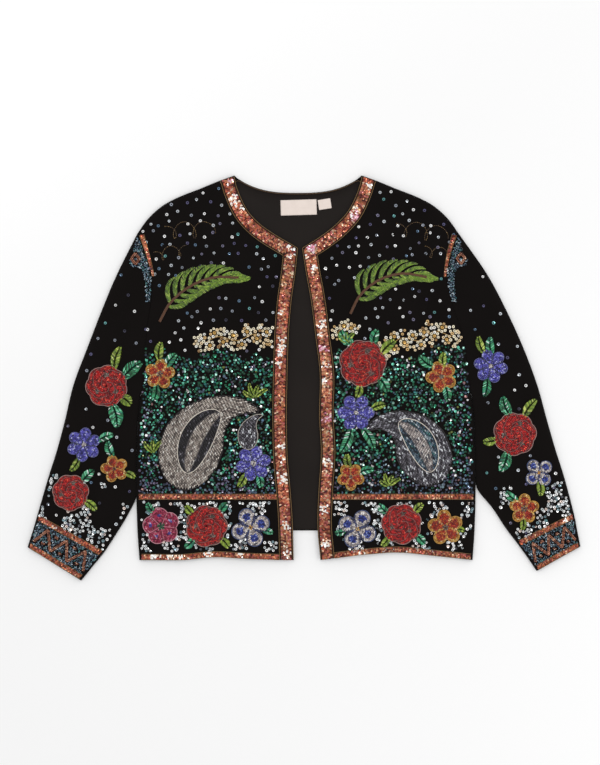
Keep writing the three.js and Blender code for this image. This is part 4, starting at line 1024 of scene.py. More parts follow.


# Its palest cream share (248, 210, 176) is a painted highlight.
COPPER = dyes(
    (190, 102, 72, 26), (216, 146, 108, 20), (122, 48, 38, 20), (194, 106, 102, 12), (248, 210, 176, 7),
    (160, 98, 54, 9), (74, 28, 26, 6), strength=0.74,
)
# Painted highlights: white and rosy glint tints for the band sequins near each of the patches below.
PAINTED_GLINT = dyes((255, 252, 246, 52), (252, 228, 206, 26), (226, 160, 128, 14), (160, 80, 60, 8), strength=1)
PAINTED_ROSE_GLINT = dyes(
    (240, 186, 200, 40), (206, 120, 150, 30), (255, 234, 236, 18), (150, 70, 84, 12), strength=0.9,
)
PAINTED_GLINT_PATCHES = [  # x, y, reach, and whether it is a rosy one
    (-106, 268, 7, 0), (-100, 262, 5, 0), (-90, 254, 5, 0), (-22, 195, 6, 0), (-26, 184, 5, 0),
    (8, 195, 7, 1), (3, 183, 5, 0), (14, 164, 5, 0), (74, 248, 6, 0), (78, 241, 6, 1), (-36, 98, 4, 0),
    (-33, 58, 4, 0), (-34, 46, 5, 0), (-35, 37, 5, 0), (-39, 20, 5, 0), (-33, -104, 6, 0),
    (-31, -122, 5, 0), (-30, -150, 7, 0), (-27, -222, 6, 0), (-22, -262, 6, 0), (27, 80, 6, 0),
    (25, 66, 5, 0), (27, 46, 5, 1), (32, 18, 5, 0), (29, -6, 5, 0), (35, -60, 6, 1), (33, -128, 6, 0),
    (30, -196, 6, 0), (34, -248, 6, 0), (98, 288, 4, 0), (-110, 296, 4, 1), (-225, -267, 5, 0),
    (-202, -267, 6, 0), (-185, -266, 6, 0), (-142, -264, 5, 0), (158, -262, 4, 0), (-96, -264, 4, 0),
    (84, -264, 4, 0), (-378, -224, 4, 0), (-394, -216, 3, 0), (392, -214, 4, 0),
]
BRONZE = colour(122, 92, 50)
UMBER = colour(46, 29, 21)


def copper_tints(p, narrow):
    """Copper all over, drifting between rosy and ochre, with painted highlights: white or rosy glint tints
    thickening towards the middle of each listed patch. The narrow trims are a darker, more orange copper."""
    x, y = p.T
    tints = dyed(COPPER, 0.32, len(p)) * ((0.86, 0.74, 0.66, 1) if narrow else (1, 1, 1, 1))
    tints[:, 1:3] *= (1 + 0.14 * np.sin(x / 21 + y / 26) * np.sin(y / 37 + 1))[:, None]
    tints[:, :3] *= (1 + 0.2 * np.sin(y / 13 + x / 9) * np.sin(y / 29 + x / 31 + 2))[:, None]
    # Painted highlight: sequins near each patch take a glint tint.
    for px, py, reach, rosy in PAINTED_GLINT_PATCHES:
        lit = chance.random(len(p)) < 0.95 * np.exp(-(((x - px) ** 2 + (y - py) ** 2) / reach**2))
        tints[lit] = dyed(PAINTED_ROSE_GLINT if rosy else PAINTED_GLINT, 0.15, lit.sum())
    return tints


def sequin_strip(name, a, b, rows=6, across=3.9, inset=3.0, edge=0.9):
    """A strip of lapped sequins on its tape, with a thread along both long sides."""
    p, heading = in_rows(a, b, rows, 0.62 * across, inset)
    size = across / 2 * chance.uniform(0.9, 1.08, (len(p), 1))
    tints = copper_tints(p, narrow=rows < 4)
    share = np.linspace(0, 1, max(3, round(length_of(a) / 3.0)))
    near, far = part_way(a, share), part_way(b, share)
    flat = near[:, None] + (far - near)[:, None] * np.linspace(0, 1, 5)[:, None]
    parts = [
        pad(flat, 0.5, 0.05, UMBER),
        sewn(sequin(), at_cloth(p, 0.6), size, heading, tints, foil, tip=0.14, slope=0.16),
        *(laid_cord(points, edge, 0.5, BRONZE) for points in (a, b)),
    ]
    return put_in(name, parts, [name.replace("_sequins", "")])


BAND_NEAR, BAND_FAR = 0.6, 21  # a band's sides, from the line that it follows


def mitre(side):
    """Where the inner and outer sides of the neckband and of the front band meet at the top corner."""
    edge, neck = front_edge(side), neckline(side)
    corner = neck[0]
    down, up = (unit(along(points, 16) - corner) for points in (edge[::-1], neck))
    inward = unit(down + up)
    half = math.acos(down @ inward)
    places = [
        corner + inward * off / math.sin(half) + apart * HALF_GAP
        for apart in (up, down) for off in (BAND_NEAR, BAND_FAR)
    ]
    return (*places, BAND_FAR / math.tan(half) + 2)


for side, name in SIDES.items():
    *corners, passed = mitre(side)
    neck, edge, seam = neckline(side), front_edge(side), shoulder_seam(side)
    bent = stretch(neck, passed, length_of(neck) - 8)
    straight = stretch(edge, 0.7, length_of(edge) - passed)
    ends = [along(seam, reach) - (0, 0.7) for reach in (BAND_NEAR, 22.5)]
    offs = (BAND_NEAR, BAND_FAR)
    neck_sides = [np.concatenate([[corners[k]], beside(bent, offs[k], -side), [ends[k]]]) for k in (0, 1)]
    sequin_strip(f"neckband_sequins_{name}", *neck_sides)
    front_sides = [np.concatenate([beside(straight, offs[k], -side), [corners[k + 2]]]) for k in (0, 1)]
    sequin_strip(f"front_band_sequins_{name}", *front_sides)

neck_edge = lining_edge[:, :2] + (0, 0.3)
neck_cord = raised(stretch(neck_edge, 1, length_of(neck_edge) - 1, 90), 3.75)
put_in("back_neck_cord", [cord(neck_cord, 0.9, colour(92, 66, 36))])

# Narrow copper trims, made as the bands are: one across each front above the hem border, one along
# each front hem, two round each cuff, and a tapered bar on each shoulder along the armhole.
AT_SEAM, BESIDE_BAND = 2.6, 21.8
WAIST = (-182.0, -174.0)
NARROW = {"rows": 3, "across": 3.2, "inset": 0.9, "edge": 0.8}


def cuff_line(side, share):
    """A line across the cuff at a share of its depth, stopping short of both folds."""
    a, b = (part_way(rounded(f(side)[CUFF_STATION:], 20), share) for f in (outer_fold, inner_fold))
    inset = AT_SEAM * unit(b - a)
    return np.linspace(a + inset, b - inset, 30)


for side, name in SIDES.items():
    waist = []
    for y in WAIST:
        inner = read(FRONT_EDGE, COLUMN[side], y) + side * BESIDE_BAND
        waist.append(np.linspace((inner, y), (body_edge(side, y) - side * AT_SEAM, y), 30))
    hem = stretch(front_hem(side), 22.2, length_of(front_hem(side)) - AT_SEAM)
    sequin_strip(f"waist_trim_sequins_{name}", *waist, **NARROW)
    sequin_strip(f"hem_trim_sequins_{name}", beside(hem, 0.7, side), beside(hem, 9, side), **NARROW)
    for part, *shares in (("upper", 0, 0.15), ("lower", 0.85, 0.985)):
        both = (cuff_line(side, share) for share in shares)
        sequin_strip(f"cuff_trim_sequins_{part}_{name}", *both, **NARROW)
    bar = stretch(armhole(side)[::-1], 4, 68)
    far = beside(bar, 8, -side)
    far = far + (bar - far) * (0.55 * np.linspace(0, 1, len(bar)))[:, None]
    near = beside(bar, 1, -side)
    sequin_strip(f"shoulder_bar_sequins_{name}", near, far, **NARROW | {"rows": 2, "inset": 0.8})


# Cup sequins strewn over the black cloth: rings with a small dark eye, silver-white or dim violet,
# blue and teal. They lie closer on the chest than on the sleeves.
def ring(corners=8, eye=0.4, cup=0.34, thick=0.14):
    """A closed cupped ring of radius 1: a sloping top, the eye's short wall and a sloping underside."""
    angle, i, j = corners_of(corners)
    points = np.concatenate([raised(r * step_at(angle), z) for r, z in ((1, cup), (eye, thick), (eye, 0))])
    pairs = ((0, corners), (corners, 2 * corners), (2 * corners, 0))
    return points, two_triangles(np.concatenate([rows_of(i + a, j + a, j + b, i + b) for a, b in pairs]))


def strewn(across, up, step, loose, side=1):
    """Places in staggered rows a step apart, each moved at random by up to a share of the step. across
    and up are the two ends each way, across counted outward from the centre on a side."""
    x, y = np.meshgrid(np.arange(*sorted(side * np.array(across)), step), np.arange(*up, step * 0.866))
    x = x + (np.arange(len(x)) % 2)[:, None] * step / 2
    return rows_of(*((a + chance.uniform(-loose, loose, a.shape) * step).ravel() for a in (x, y)))


FULL_TURN, HALF_TURN = 6.28, 3.14  # radians


def scattered(shape, spot, size, vary, tint, material, tip, turn=FULL_TURN):
    """Small pieces sewn at places, each a little larger or smaller than size and turned at random. The
    tint is one for each, or a palette and its spread."""
    count = len(spot[0])
    size = np.array(size) * chance.uniform(*vary, (count, 1))
    turn = chance.uniform(0, turn, count)
    if isinstance(tint, tuple):
        tint = dyed(*tint, count)
    return sewn(shape, spot, size, turn, tint, material, tip)


STAR = dyes(
    (255, 255, 255, 22), (206, 212, 218, 22), (150, 156, 168, 18), (118, 114, 138, 12), (92, 88, 124, 8),
    (96, 122, 148, 9), (104, 164, 164, 5), (60, 58, 76, 6), strength=0.8,
)


def ground_top(x):
    """The upper border of the emerald ground, a slow wave that is higher at the sides."""
    return 34 + 9 * np.sin(x / 27) + 6 * np.sin(x / 11 + 1) + 16 * ease((np.abs(x) - 170) / 60)


def on_sleeve(side, p):
    """Whether places are on the sleeve above its cuff."""
    cuff = np.concatenate([cuff_line(side, -0.06), cuff_line(side, 1.1)[::-1]])
    return inside(sleeve_outline(side), p) & ~inside(cuff, p)


found = []
for side in SIDES:
    p = strewn((0, 262), (-10, 300), 18.6, 0.3, side)
    found.append(p[inside(front_outline(side), p) & (p[:, 1] > ground_top(p[:, 0]) + 6)])
    p = strewn((200, 430), (-310, 220), 28, 0.3, side)
    found.append(p[on_sleeve(side, p) & ~((np.abs(p[:, 0]) < 262) & (p[:, 1] > 108))])
p = np.concatenate(found)
p = p[clear(p, 4.5, 25, 3.4) & ~in_a_garland(p, 3) & ~near_a_fern(p)]
cups = scattered(ring(), at_cloth(p, 0.06), (2.45, 2.45, 2.5), (0.85, 1.05), (STAR, 0.2), foil, 0.16)
put_in("cup_sequins", [cups])

# The ground of the lower fronts: small sequins sewn close, with black cloth between them. Emerald,
# teal and mint above, turning blue-grey and violet towards the hem border and the sides.
# Its palest aqua and white shares (176, 232, 216 and 255, 255, 255) are painted glints.
EMERALD = dyes(
    (20, 78, 54, 22), (38, 124, 92, 20), (36, 96, 98, 12), (96, 184, 158, 10), (176, 232, 216, 6),
    (18, 46, 36, 16), (80, 98, 116, 6), (98, 90, 108, 3), (255, 255, 255, 3.5), (96, 108, 50, 2),
    strength=0.86,
)
# Its near-white share (250, 252, 255) is a painted glint.
DUSK = dyes(
    (88, 114, 140, 22), (124, 132, 156, 16), (112, 102, 130, 14), (58, 70, 94, 18), (156, 184, 198, 8),
    (40, 120, 98, 14), (250, 252, 255, 4), (162, 120, 118, 4), strength=0.8,
)
found = []
for side in SIDES:
    p = strewn((30, 256), (-172, 66), 4.35, 0.34, side)
    top = ground_top(p[:, 0]) + chance.normal(0, 2.5, len(p))
    found.append(p[inside(front_outline(side), p) & (p[:, 1] < top)])
p = np.concatenate(found)
p = p[clear(p, 3.5, 23) & ~in_a_garland(p, 1) & (chance.random(len(p)) < 0.8)]
x, y = p.T
dusk = 0.75 * ease((-105 - y) / 60) + 0.5 * ease((np.abs(x) - 215) / 40)
dusk = dusk + 0.12 * np.sin(x / 13) * np.sin(y / 17)
tint = np.where((chance.random(len(p)) < dusk)[:, None], dyed(DUSK, 0.4, len(p)), dyed(EMERALD, 0.45, len(p)))
tint[:, :3] *= (1.0 - 0.28 * ease((-120 - y) / 40) - 0.14 * (x > 0))[:, None]
cups = scattered(sequin(6), at_cloth(p, 0.08), (2.15, 2.15, 2.3), (0.62, 1.12), tint, foil, 0.26)
put_in("emerald_ground", [cups])

# Ivory garlands: swags of small daisies along the top of the ground, each of seven pearly rings round
# a gold cup, with more rings between them and a gold thread through them.
# White sequins fill the hem border between its flowers and lie in drifts above the cuffs.
IVORY = dyes(
    (255, 244, 214, 42), (252, 226, 182, 24), (255, 252, 242, 18), (222, 182, 120, 10), (160, 120, 72, 6),
    strength=0.98,
)
WHITE = dyes(
    (255, 255, 255, 46), (216, 222, 224, 24), (170, 180, 186, 12), (124, 150, 158, 8), (236, 216, 206, 6),
    (92, 92, 100, 4), strength=0.95,
)
GOLD = colour(186, 146, 78)
PETALS, DAISY_REACH, DAISY_PITCH = 7, 5.9, 12.5
pearl = finish_of_tint("pearl_ring", 0.3, 0.15, 0.6, 0.1, 1200, coat=0.4)

parts, found, golden = [], [], []
for middle, half in GARLANDS:
    path = rounded(middle, 60)
    count = max(2, round(length_of(path) / DAISY_PITCH))
    zigzag = (half - 8) * np.where(np.arange(count) % 2, 1, -1)
    daisies = beside(part_way(path, (np.arange(count) + 0.5) / count), zigzag, 1)
    golden.append(daisies)
    petal = corners_of(PETALS)[0] + chance.uniform(0, FULL_TURN, (count, 1))
    found.append((daisies[:, None] + DAISY_REACH * step_at(petal)).reshape(-1, 2))
    p = strewn(*np.transpose([path.min(0) - 1.3 * half, path.max(0) + 1.3 * half]), 5.4, 0.27)
    apart = np.linalg.norm(p[:, None] - daisies, axis=-1).min(1) > 10
    found.append(p[in_a_garland(p) & apart])
    parts.append(laid_cord(path, 0.9, 0.5, GOLD, 2.0))
golden = np.concatenate(golden)
golden = golden[clear(golden)]
p = np.concatenate(found)
p = p[clear(p, 4, 24)]
petal = ring(8, 0.36, 0.36, 0.26)
parts.append(scattered(petal, at_cloth(p, 0.5), (2.5, 2.5, 2.6), (0.82, 1.1), (IVORY, 0.15), pearl, 0.2))
level, gilt = np.zeros(len(golden)), np.tile(GOLD, (len(golden), 1))
parts.append(sewn(ring(8, 0.25, 0.5, 0.4), at_cloth(golden, 0.8), (2.7, 2.7, 3.2), level, gilt, foil))
put_in("ivory_garlands", parts)

found = []
for side in SIDES:
    p = strewn((30, 256), (-268, -186), 4.9, 0.3, side)
    x, y = p.T
    drift = np.sin(x / 8.0 + 2 * np.sin(y / 14)) * np.sin(y / 9.0 + side) > -0.1
    found.append(p[drift & inside(front_outline(side), p) & (y > HEM_Y + 13)])
    p = strewn((250, 430), (-290, -140), 4.9, 0.3, side)
    x, y = p.T
    from_cuff = distance_to(cuff_line(side, 0.0), p)
    drift = np.sin(x / 12.0 + 1.4) * np.sin(y / 15.0 + 0.6 * side) > from_cuff / 62 - 0.5
    found.append(p[on_sleeve(side, p) & drift])
p = np.concatenate(found)
p = p[clear(p, 3.5, 24) & (chance.random(len(p)) < 0.76)]
cups = scattered(ring(6), at_cloth(p, 0.08), (2.3, 2.3, 2.1), (0.78, 1.08), (WHITE, 0.2), foil, 0.2)
put_in("white_drifts", [cups])

# Cuff bands and armhole inserts: short bugle beads thrown in every direction, steel blue and teal on
# black, with copper-brown bars worked over them in a zigzag and short strokes.
glass = finish_of_tint("glass_bead", 0.16, 0.25, 0.6, 0.2, 1800, coat=0.5)


def bugle(sides=5):
    """A closed bead one long and one thick: a barrel of flat sides drawn to a point at both ends."""
    angle, i, j = corners_of(sides)
    end = rows_of(0.0, *0.5 * step_at(angle).T)
    points = np.concatenate([end - (0.36, 0, 0), end + (0.36, 0, 0), [(-0.5, 0, 0), (0.5, 0, 0)]])
    barrel = two_triangles(rows_of(i, j, j + sides, i + sides))
    tips = rows_of(2 * sides, j, i), rows_of(2 * sides + 1, i + sides, j + sides)
    return points, np.concatenate([barrel, *tips])


STEEL = dyes(
    (104, 130, 150, 22), (66, 92, 112, 22), (150, 170, 182, 14), (44, 100, 108, 14), (30, 44, 60, 16),
    (214, 226, 234, 7), (90, 150, 150, 5), strength=0.78,
)
BARS = dyes((172, 106, 78, 40), (200, 134, 102, 26), (120, 66, 48, 24), (234, 186, 156, 10), strength=0.85)


def beaded_patch(name, stands_for, loop, bars):
    """Bugles strewn in a closed line of places, on black, left out under the copper bars."""
    p = strewn(*np.transpose([loop.min(0), loop.max(0)]), 2.75, 0.3)
    p = p[inside(loop, p) & (edge_distance(p) > 2.4)]
    for bar in bars:
        p = p[distance_to(bar, p) > 2.7]
    size, vary = (3.2, 1.7, 1.5), (0.8, 1.15)
    parts = [scattered(bugle(), at_cloth(p, 0.75), size, vary, (STEEL, 0.35), glass, 0.12, HALF_TURN)]
    for bar in bars:
        p, heading = in_rows(beside(bar, 2.1, 1), beside(bar, 2.1, -1), 2, 2.0, 0)
        tint = dyed(BARS, 0.4, len(p))
        turn = heading + 0.9 + chance.normal(0, 0.5, len(p))
        parts.append(sewn(bugle(), at_cloth(p, 0.95), (2.3, 1.6, 1.6), turn, tint, glass, tip=0.14))
    put_in(name, parts, [stands_for])


INSERT_WIDTH = [(4, 2.5), (12, 8), (26, 18), (38, 27), (45, 25), (52, 13), (75, 11), (108, 8)]  # down, width
LOZENGE = [(0, 8), (6, 0), (0, -8), (-6, 0), (0, 8)]
STROKES = ((0.188, -1), (0.345, 1), (0.5, -1), (0.655, 1), (0.812, -1))  # across the cuff, up or down
for side, name in SIDES.items():
    top, bottom = cuff_line(side, 0.158), cuff_line(side, 0.842)

    def on_cuff(u, v, top=top, bottom=bottom):
        return part_way(top, u) * (1 - v) + part_way(bottom, u) * v

    zigzag = np.array([on_cuff(u, v) for u, v in zip(np.linspace(0.03, 0.97, 7), (0.88, 0.12) * 3 + (0.88,))])
    bars = [stretch(zigzag, 0, length_of(zigzag), 90)]
    for middle, up_or_down in STROKES:
        tip = 0.5 - 0.26 * up_or_down
        bars.append(np.linspace(on_cuff(middle - 0.035, tip), on_cuff(middle + 0.035, tip), 12))
    beaded_patch(f"cuff_beads_{name}", f"cuff_band_{name}", np.concatenate([top, bottom[::-1]]), bars)
    seam = stretch(armhole(side)[::-1], 4, 108, 41)
    width = read(INSERT_WIDTH, 1, np.linspace(4, 108, 41))
    near, far = beside(seam, 1.2, side), beside(seam, width, side)
    lozenge = near[12] * 0.4 + far[12] * 0.6 + np.array(LOZENGE)
    bars = [stretch(lozenge, 0, length_of(lozenge), 40)]
    beaded_patch(f"insert_beads_{name}", f"insert_{name}", np.concatenate([near, far[::-1]]), bars)

# Leaves: each a felt pad covered on both sides of its midrib with slanting bugles, lime or emerald,
# and bare along the midrib, which shows as a dark slit.
LEAF_DYES = {
    "lime": dyes(
        (128, 156, 38, 34), (160, 186, 60, 24), (98, 124, 26, 24), (206, 218, 112, 10), (66, 90, 22, 8),
        strength=0.82,
    ),
    # Its mint and white shares (124, 214, 170 and 240, 255, 248) are a painted sheen and painted glints.
    "emerald": dyes(
        (22, 112, 66, 28), (54, 164, 112, 27), (14, 76, 50, 17), (124, 214, 170, 16), (240, 255, 248, 5),
        (32, 130, 112, 7), strength=0.84,
    ),
}
LEAF_FELTS = {"lime": colour(24, 30, 10), "emerald": colour(8, 34, 24)}
LEAF_STEP = 1.75


def leaf_beads(leaf):
    """A pad under the leaf and, at each step along it, a bead slanting out on each side of the midrib."""
    _, _, heading, length, width, dye = leaf
    t = np.concatenate([[0.02], np.linspace(0.06, 0.97, 11)])[:, None]
    across = np.linspace(-1, 1, 7)
    dome = 0.35 + 0.7 * (1 - across**2) * np.sin(np.pi * t) ** 0.6
    parts = [pad(on_leaf(leaf, t * np.ones(7), across), dome, 0.03, LEAF_FELTS[dye])]
    count = int(length * 0.9 / LEAF_STEP)
    at = 0.05 + np.arange(count) * LEAF_STEP / length
    half = width / 2 * np.sin(np.pi * at**0.8) ** 0.8
    slit = 0.6 + 0.05 * width * np.sin(np.pi * at)
    reach = np.maximum(half - slit, 0.6)
    beads_across = 2 if width > 15 else 1
    for sign in (-1, 1):
        for k in range(beads_across):
            off = sign * (slit + reach * (k + 0.5) / beads_across)
            share = np.clip(off / np.maximum(half, 1), -0.95, 0.95)
            place, up = at_cloth(on_leaf(leaf, at + 0.35 * np.abs(off) / length, share), 0.85)
            place[:, 2] += 0.5 * (1 - share**2)
            size = rows_of(reach / beads_across * 1.3 + 0.5, 1.75, 1.5)
            tint = dyed(LEAF_DYES[dye], 0.3, count)
            turn = np.full(count, math.radians(heading) + sign * 0.95)
            parts.append(sewn(bugle(), (place, up), size, turn, tint, glass, tip=0.08))
    return parts


for dye, slot in (("lime", "orange_beads"), ("emerald", "blue_beads")):
    put_in(f"{dye}_leaves", [part for leaf in leaves if leaf[-1] == dye for part in leaf_beads(leaf)])

# Fern sprays above the ground: arched brown stems of couched cord, with long leaflets of lime chain
# stitch. Each leaflet is a bent rib with short stitches slanting off both sides of it.
silk = finish_of_tint("lime_silk", 0.5, 0.0, 0.35, 0.3, 3200, sheen=0.3, bump=0.5)
FERN_GREEN = dyes(
    (118, 156, 30, 30), (142, 184, 46, 28), (88, 122, 22, 20), (188, 214, 92, 14), (50, 76, 16, 8),
)
STEM_BROWN = colour(92, 58, 36)
LEAFLET_PITCH = 12.5


def fern(stem, leaflet):
    """Leaflets in pairs along an arched stem, longest near its foot and short at the tip. Each bends
    outward, and its stitches shorten towards its point."""
    path = rounded(stem, 60)
    reach = length_of(path)
    parts = [
        laid_cord(path, 2.6, 0.9, STEM_BROWN, 3.0),
        laid_cord(beside(path, 1.8, 1), 1.5, 0.7, STEM_BROWN, 3.0),
    ]
    for sign in (-1, 1):
        at = np.append(np.arange(0.2 * reach + 3 * sign, 0.97 * reach, LEAFLET_PITCH), reach - 1)
        here = along(path, at)
        heading = heading_of(here - along(path, at - 1))[:, None]
        share = at[:, None] / reach
        size = leaflet * (0.42 + 0.58 * np.sin(np.pi * np.clip(0.2 + 0.8 * share, 0, 1)) ** 0.7)
        k = np.linspace(0.03, 1, 20)
        angle = heading + sign * (1.12 - 0.95 * share**2) - sign * 0.55 * k**1.4 * (1 - 0.8 * share**3)
        ribs = (here[:, None] + step_at(angle) * (size * k)[..., None]).reshape(-1, 2)
        full = np.sin(np.pi * np.clip(0.16 + 0.84 * k, 0, 1)) ** 0.7
        long = ((0.5 + 0.155 * size) * (0.25 + 0.75 * full)).ravel()
        for off in (-1, 1):
            turn = (angle + off * 0.66).ravel()
            spot = at_cloth(ribs + (0.42 * long)[:, None] * step_at(turn), 0.6)
            tint = dyed(FERN_GREEN, 0.25, len(long))
            parts.append(sewn(bugle(4), spot, rows_of(long, 1.3, 1.1), turn, tint, silk, tip=0.06))
        sizes = rows_of(np.repeat(size / 14, len(k)), 1.0, 0.9)
        tint = dyed(FERN_GREEN, 0.2, angle.size)
        parts.append(sewn(bugle(4), at_cloth(ribs, 0.85), sizes, angle.ravel(), tint, silk, tip=0.05))
    return parts


put_in("fern_sprays", [part for stem, leaflet in FERNS for part in fern(stem, leaflet)])

# Flowers: a domed felt pad, rows of beads round it from rim to centre, a thread round the outline and
# threads between the petals or, on a rose, winding in from the rim.
RED = dyes(
    (184, 20, 22, 40), (216, 34, 30, 24), (130, 10, 14, 22), (244, 92, 66, 8), (84, 6, 10, 6), strength=0.8,
)
GOLDEN = dyes((206, 148, 54, 40), (232, 182, 88, 26), (162, 100, 34, 22), (255, 228, 164, 12), strength=0.78)
EMBER = dyes((186, 44, 18, 40), (216, 84, 24, 28), (140, 26, 14, 24), (238, 140, 60, 8))
VIOLET = dyes(
    (88, 84, 188, 36), (122, 118, 222, 24), (54, 52, 134, 22), (196, 198, 250, 14), (36, 36, 92, 4),
    strength=0.78,
)
SILVER = dyes(
    (186, 176, 172, 36), (218, 208, 204, 28), (140, 132, 134, 18), (248, 244, 242, 12), (92, 90, 100, 6),
    strength=0.86,
)
ROYAL = dyes((44, 60, 156, 40), (70, 92, 190, 26), (24, 34, 100, 24), (150, 168, 236, 10), strength=0.8)
INDIGO = dyes((40, 46, 92, 50), (26, 30, 64, 30), (72, 82, 130, 20))
PINK = dyes((186, 38, 84, 36), (214, 78, 116, 26), (140, 20, 60, 24), (240, 164, 184, 10), (96, 14, 46, 4))
TAUPE = dyes((122, 104, 94, 50), (88, 74, 68, 30), (160, 146, 136, 20))
DEEP_GREEN = dyes((24, 92, 60, 50), (48, 138, 92, 30), (12, 56, 40, 20))
FLOWER_LOOKS = {  # beads, felt, outline thread, petal thread, slot
    "rose": (RED, (70, 8, 8), (168, 132, 126), (140, 84, 80), "red_beads"),
    "blossom": (EMBER, (96, 30, 10), (196, 148, 66), (150, 92, 36), "orange_beads"),
    "aster": (VIOLET, (34, 34, 80), (96, 98, 150), (30, 30, 70), "violet_beads"),
    "bloom": (SILVER, (44, 46, 62), (70, 84, 128), (40, 52, 110), "silver_beads"),
    "pink_bloom": (PINK, (80, 12, 36), (214, 150, 162), (200, 120, 140), "pink_beads"),
}


def pad_height(name, share):
    """Above the cloth: 0.35 of the rise at the rim, 0.78 at 0.88 of the way out, all of it half way."""
    return 0.75 + FLOWER_KINDS[kind_of(name)][2] * np.interp(share, [0, 0.5, 0.88, 1], [0.9, 1, 0.78, 0.35])


def flower_pad(name, felt):
    """Rings of the outline drawn in towards the centre, first below and then over the dome."""
    shares = np.array([0.02, 0.5, 0.985, 1, 0.97, 0.92, 0.85, 0.7, 0.5, 0.25, 0.02])[:, None]
    flat = on_flower(name, shares, round_the)
    lift = np.where(np.arange(len(shares))[:, None] < 3, 0.05, pad_height(name, shares) - 0.65)
    rings = raised(flat, on_top(flat) + lift)
    _, i, j = corners_of(len(round_the))
    top, last = (len(shares) - 1) * len(i), len(shares) * len(i)
    points = np.concatenate([rings.reshape(-1, 3), rings[[0, -1]].mean(1)])
    ends = np.concatenate([rows_of(last, j, i), rows_of(last + 1, i + top, j + top)])
    return points, [grid_faces(len(shares), len(i), closed=True), ends], felt, backing


def at_flower(name, share, around, above):
    """Places on the beaded face of a flower and the way it faces, from the pad's slope outward."""
    _, _, radius, turn = FLOWERS[name]
    place, up = at_cloth(on_flower(name, share, around), 0)
    place[:, 2] += pad_height(name, share) + above
    fall = (pad_height(name, share - 0.04) - pad_height(name, share + 0.04)) / (0.08 * radius)
    return place, up + fall[:, None] * step_at(around + math.radians(turn), 0.0)


# Where each petal edge of a rose winds in from: start, sweep, share out, and how far it draws in.
ROSE_WINDS = [
    *((k * 72 + 6, 96, 0.96, 0.5) for k in range(5)), *((k * 120 + 30, 150, 0.5, 0.38) for k in range(3)),
]


def flower_tints(kind, share, around):
    """Which palette each bead comes from: rims, petal drops, centres and spots differ from the fill. Each
    petal has painted shade towards its edges, and a rose has painted shade where one petal dips under the
    next, with a painted highlight just inside that."""
    petals = FLOWER_KINDS[kind][0]
    off_axis = np.abs((around * petals / (2 * np.pi) + 0.5) % 1 - 0.5) * 2  # 0 on a petal's axis, 1 between
    fill = dyed(FLOWER_LOOKS[kind][0], 0.3, len(share))
    # Painted shade: lighter along each petal's middle and darker towards the gaps between petals.
    fill[:, :3] *= (1.12 - 0.4 * off_axis**3)[:, None]
    if kind == "rose":
        # Painted shade where one rose petal dips under the next, and a painted highlight just inside it.
        for start, sweep, reach, drop in ROSE_WINDS:
            run = (np.degrees(around) - start) % 360 / sweep
            below = share - (reach - drop * np.minimum(run, 1) ** 1.25)
            shade = 1 - 0.6 * np.exp(-((below / 0.045) ** 2)) + 0.25 * np.exp(-(((below + 0.12) / 0.07) ** 2))
            fill[:, :3] *= np.where(run < 1, shade, 1)[:, None]
    third = np.abs((around * 3 / (2 * np.pi)) % 1 - 0.5)  # 0 at three places round it
    spots = {
        "rose": [((third < 0.09) & (np.abs(share - 0.56) < 0.11), TAUPE)],
        "blossom": [((share > 0.8) | (off_axis > 0.8), GOLDEN), (share < 0.2, TAUPE)],
        "aster": [(off_axis > 0.86, INDIGO), (share < 0.17, SILVER)],
        "bloom": [
            (off_axis > 0.76, INDIGO), ((off_axis < 0.42) & (np.abs(share - 0.6) < 0.17), ROYAL),
            (share < 0.16, GOLDEN),
        ],
        "pink_bloom": [(share < 0.22, DEEP_GREEN), ((off_axis < 0.25) & (np.abs(share - 0.6) < 0.1), VIOLET)],
    }
    for mask, palette in spots[kind]:
        fill[mask] = dyed(palette, 0.25, mask.sum())
    return fill


def bead_rows(name):
    """Beads in rows 2 mm apart that follow the outline, a size closer to the centre each time."""
    radius = FLOWERS[name][2]
    turn = np.linspace(0, 2 * np.pi, 97)
    share, around = [], []
    for s in np.arange(0.965 - 0.6 / radius, 0.03, -2.05 / radius):
        run = reached(on_flower(name, s, turn))
        count = max(3, round(run[-1] / 2.55))
        around.append(np.interp((np.arange(count) + chance.random()) / count * run[-1], run, turn))
        share.append(np.full(count, s))
    return np.concatenate(share), np.concatenate(around)


for name, (*_, turn) in FLOWERS.items():
    kind = kind_of(name)
    _, felt, outline_dye, petal_dye, slot = FLOWER_LOOKS[kind]
    share, around = bead_rows(name)
    heading = around + math.radians(turn) + np.pi / 2 + chance.normal(0, 0.45, len(share))
    size = np.array([2.75, 1.95, 1.7]) * chance.uniform(0.85, 1.12, (len(share), 1))
    spot = at_flower(name, share, around, -0.35)
    parts = [
        flower_pad(name, colour(*felt)),
        sewn(bugle(), spot, size, heading, flower_tints(kind, share, around), glass, tip=0.1),
        laid_cord(on_flower(name, 1, round_the, 0.4), 1.15, 0.75, colour(*outline_dye), 2.4, closed=True),
    ]
    run = np.linspace(0, 1, 14)
    if kind == "rose":
        curves = [
            (out - drop * run**1.25, np.radians(start + sweep * run))
            for start, sweep, out, drop in ROSE_WINDS
        ]
    else:
        petals = FLOWER_KINDS[kind][0]
        between = (2 * np.arange(petals) + 1) * np.pi / petals
        curves = [(0.14 + 0.84 * run, np.full(14, angle)) for angle in between]
    parts += [cord(at_flower(name, *curve, 0.35)[0], 0.75, colour(*petal_dye)) for curve in curves]
    put_in(f"{name}_beads", parts, [name])

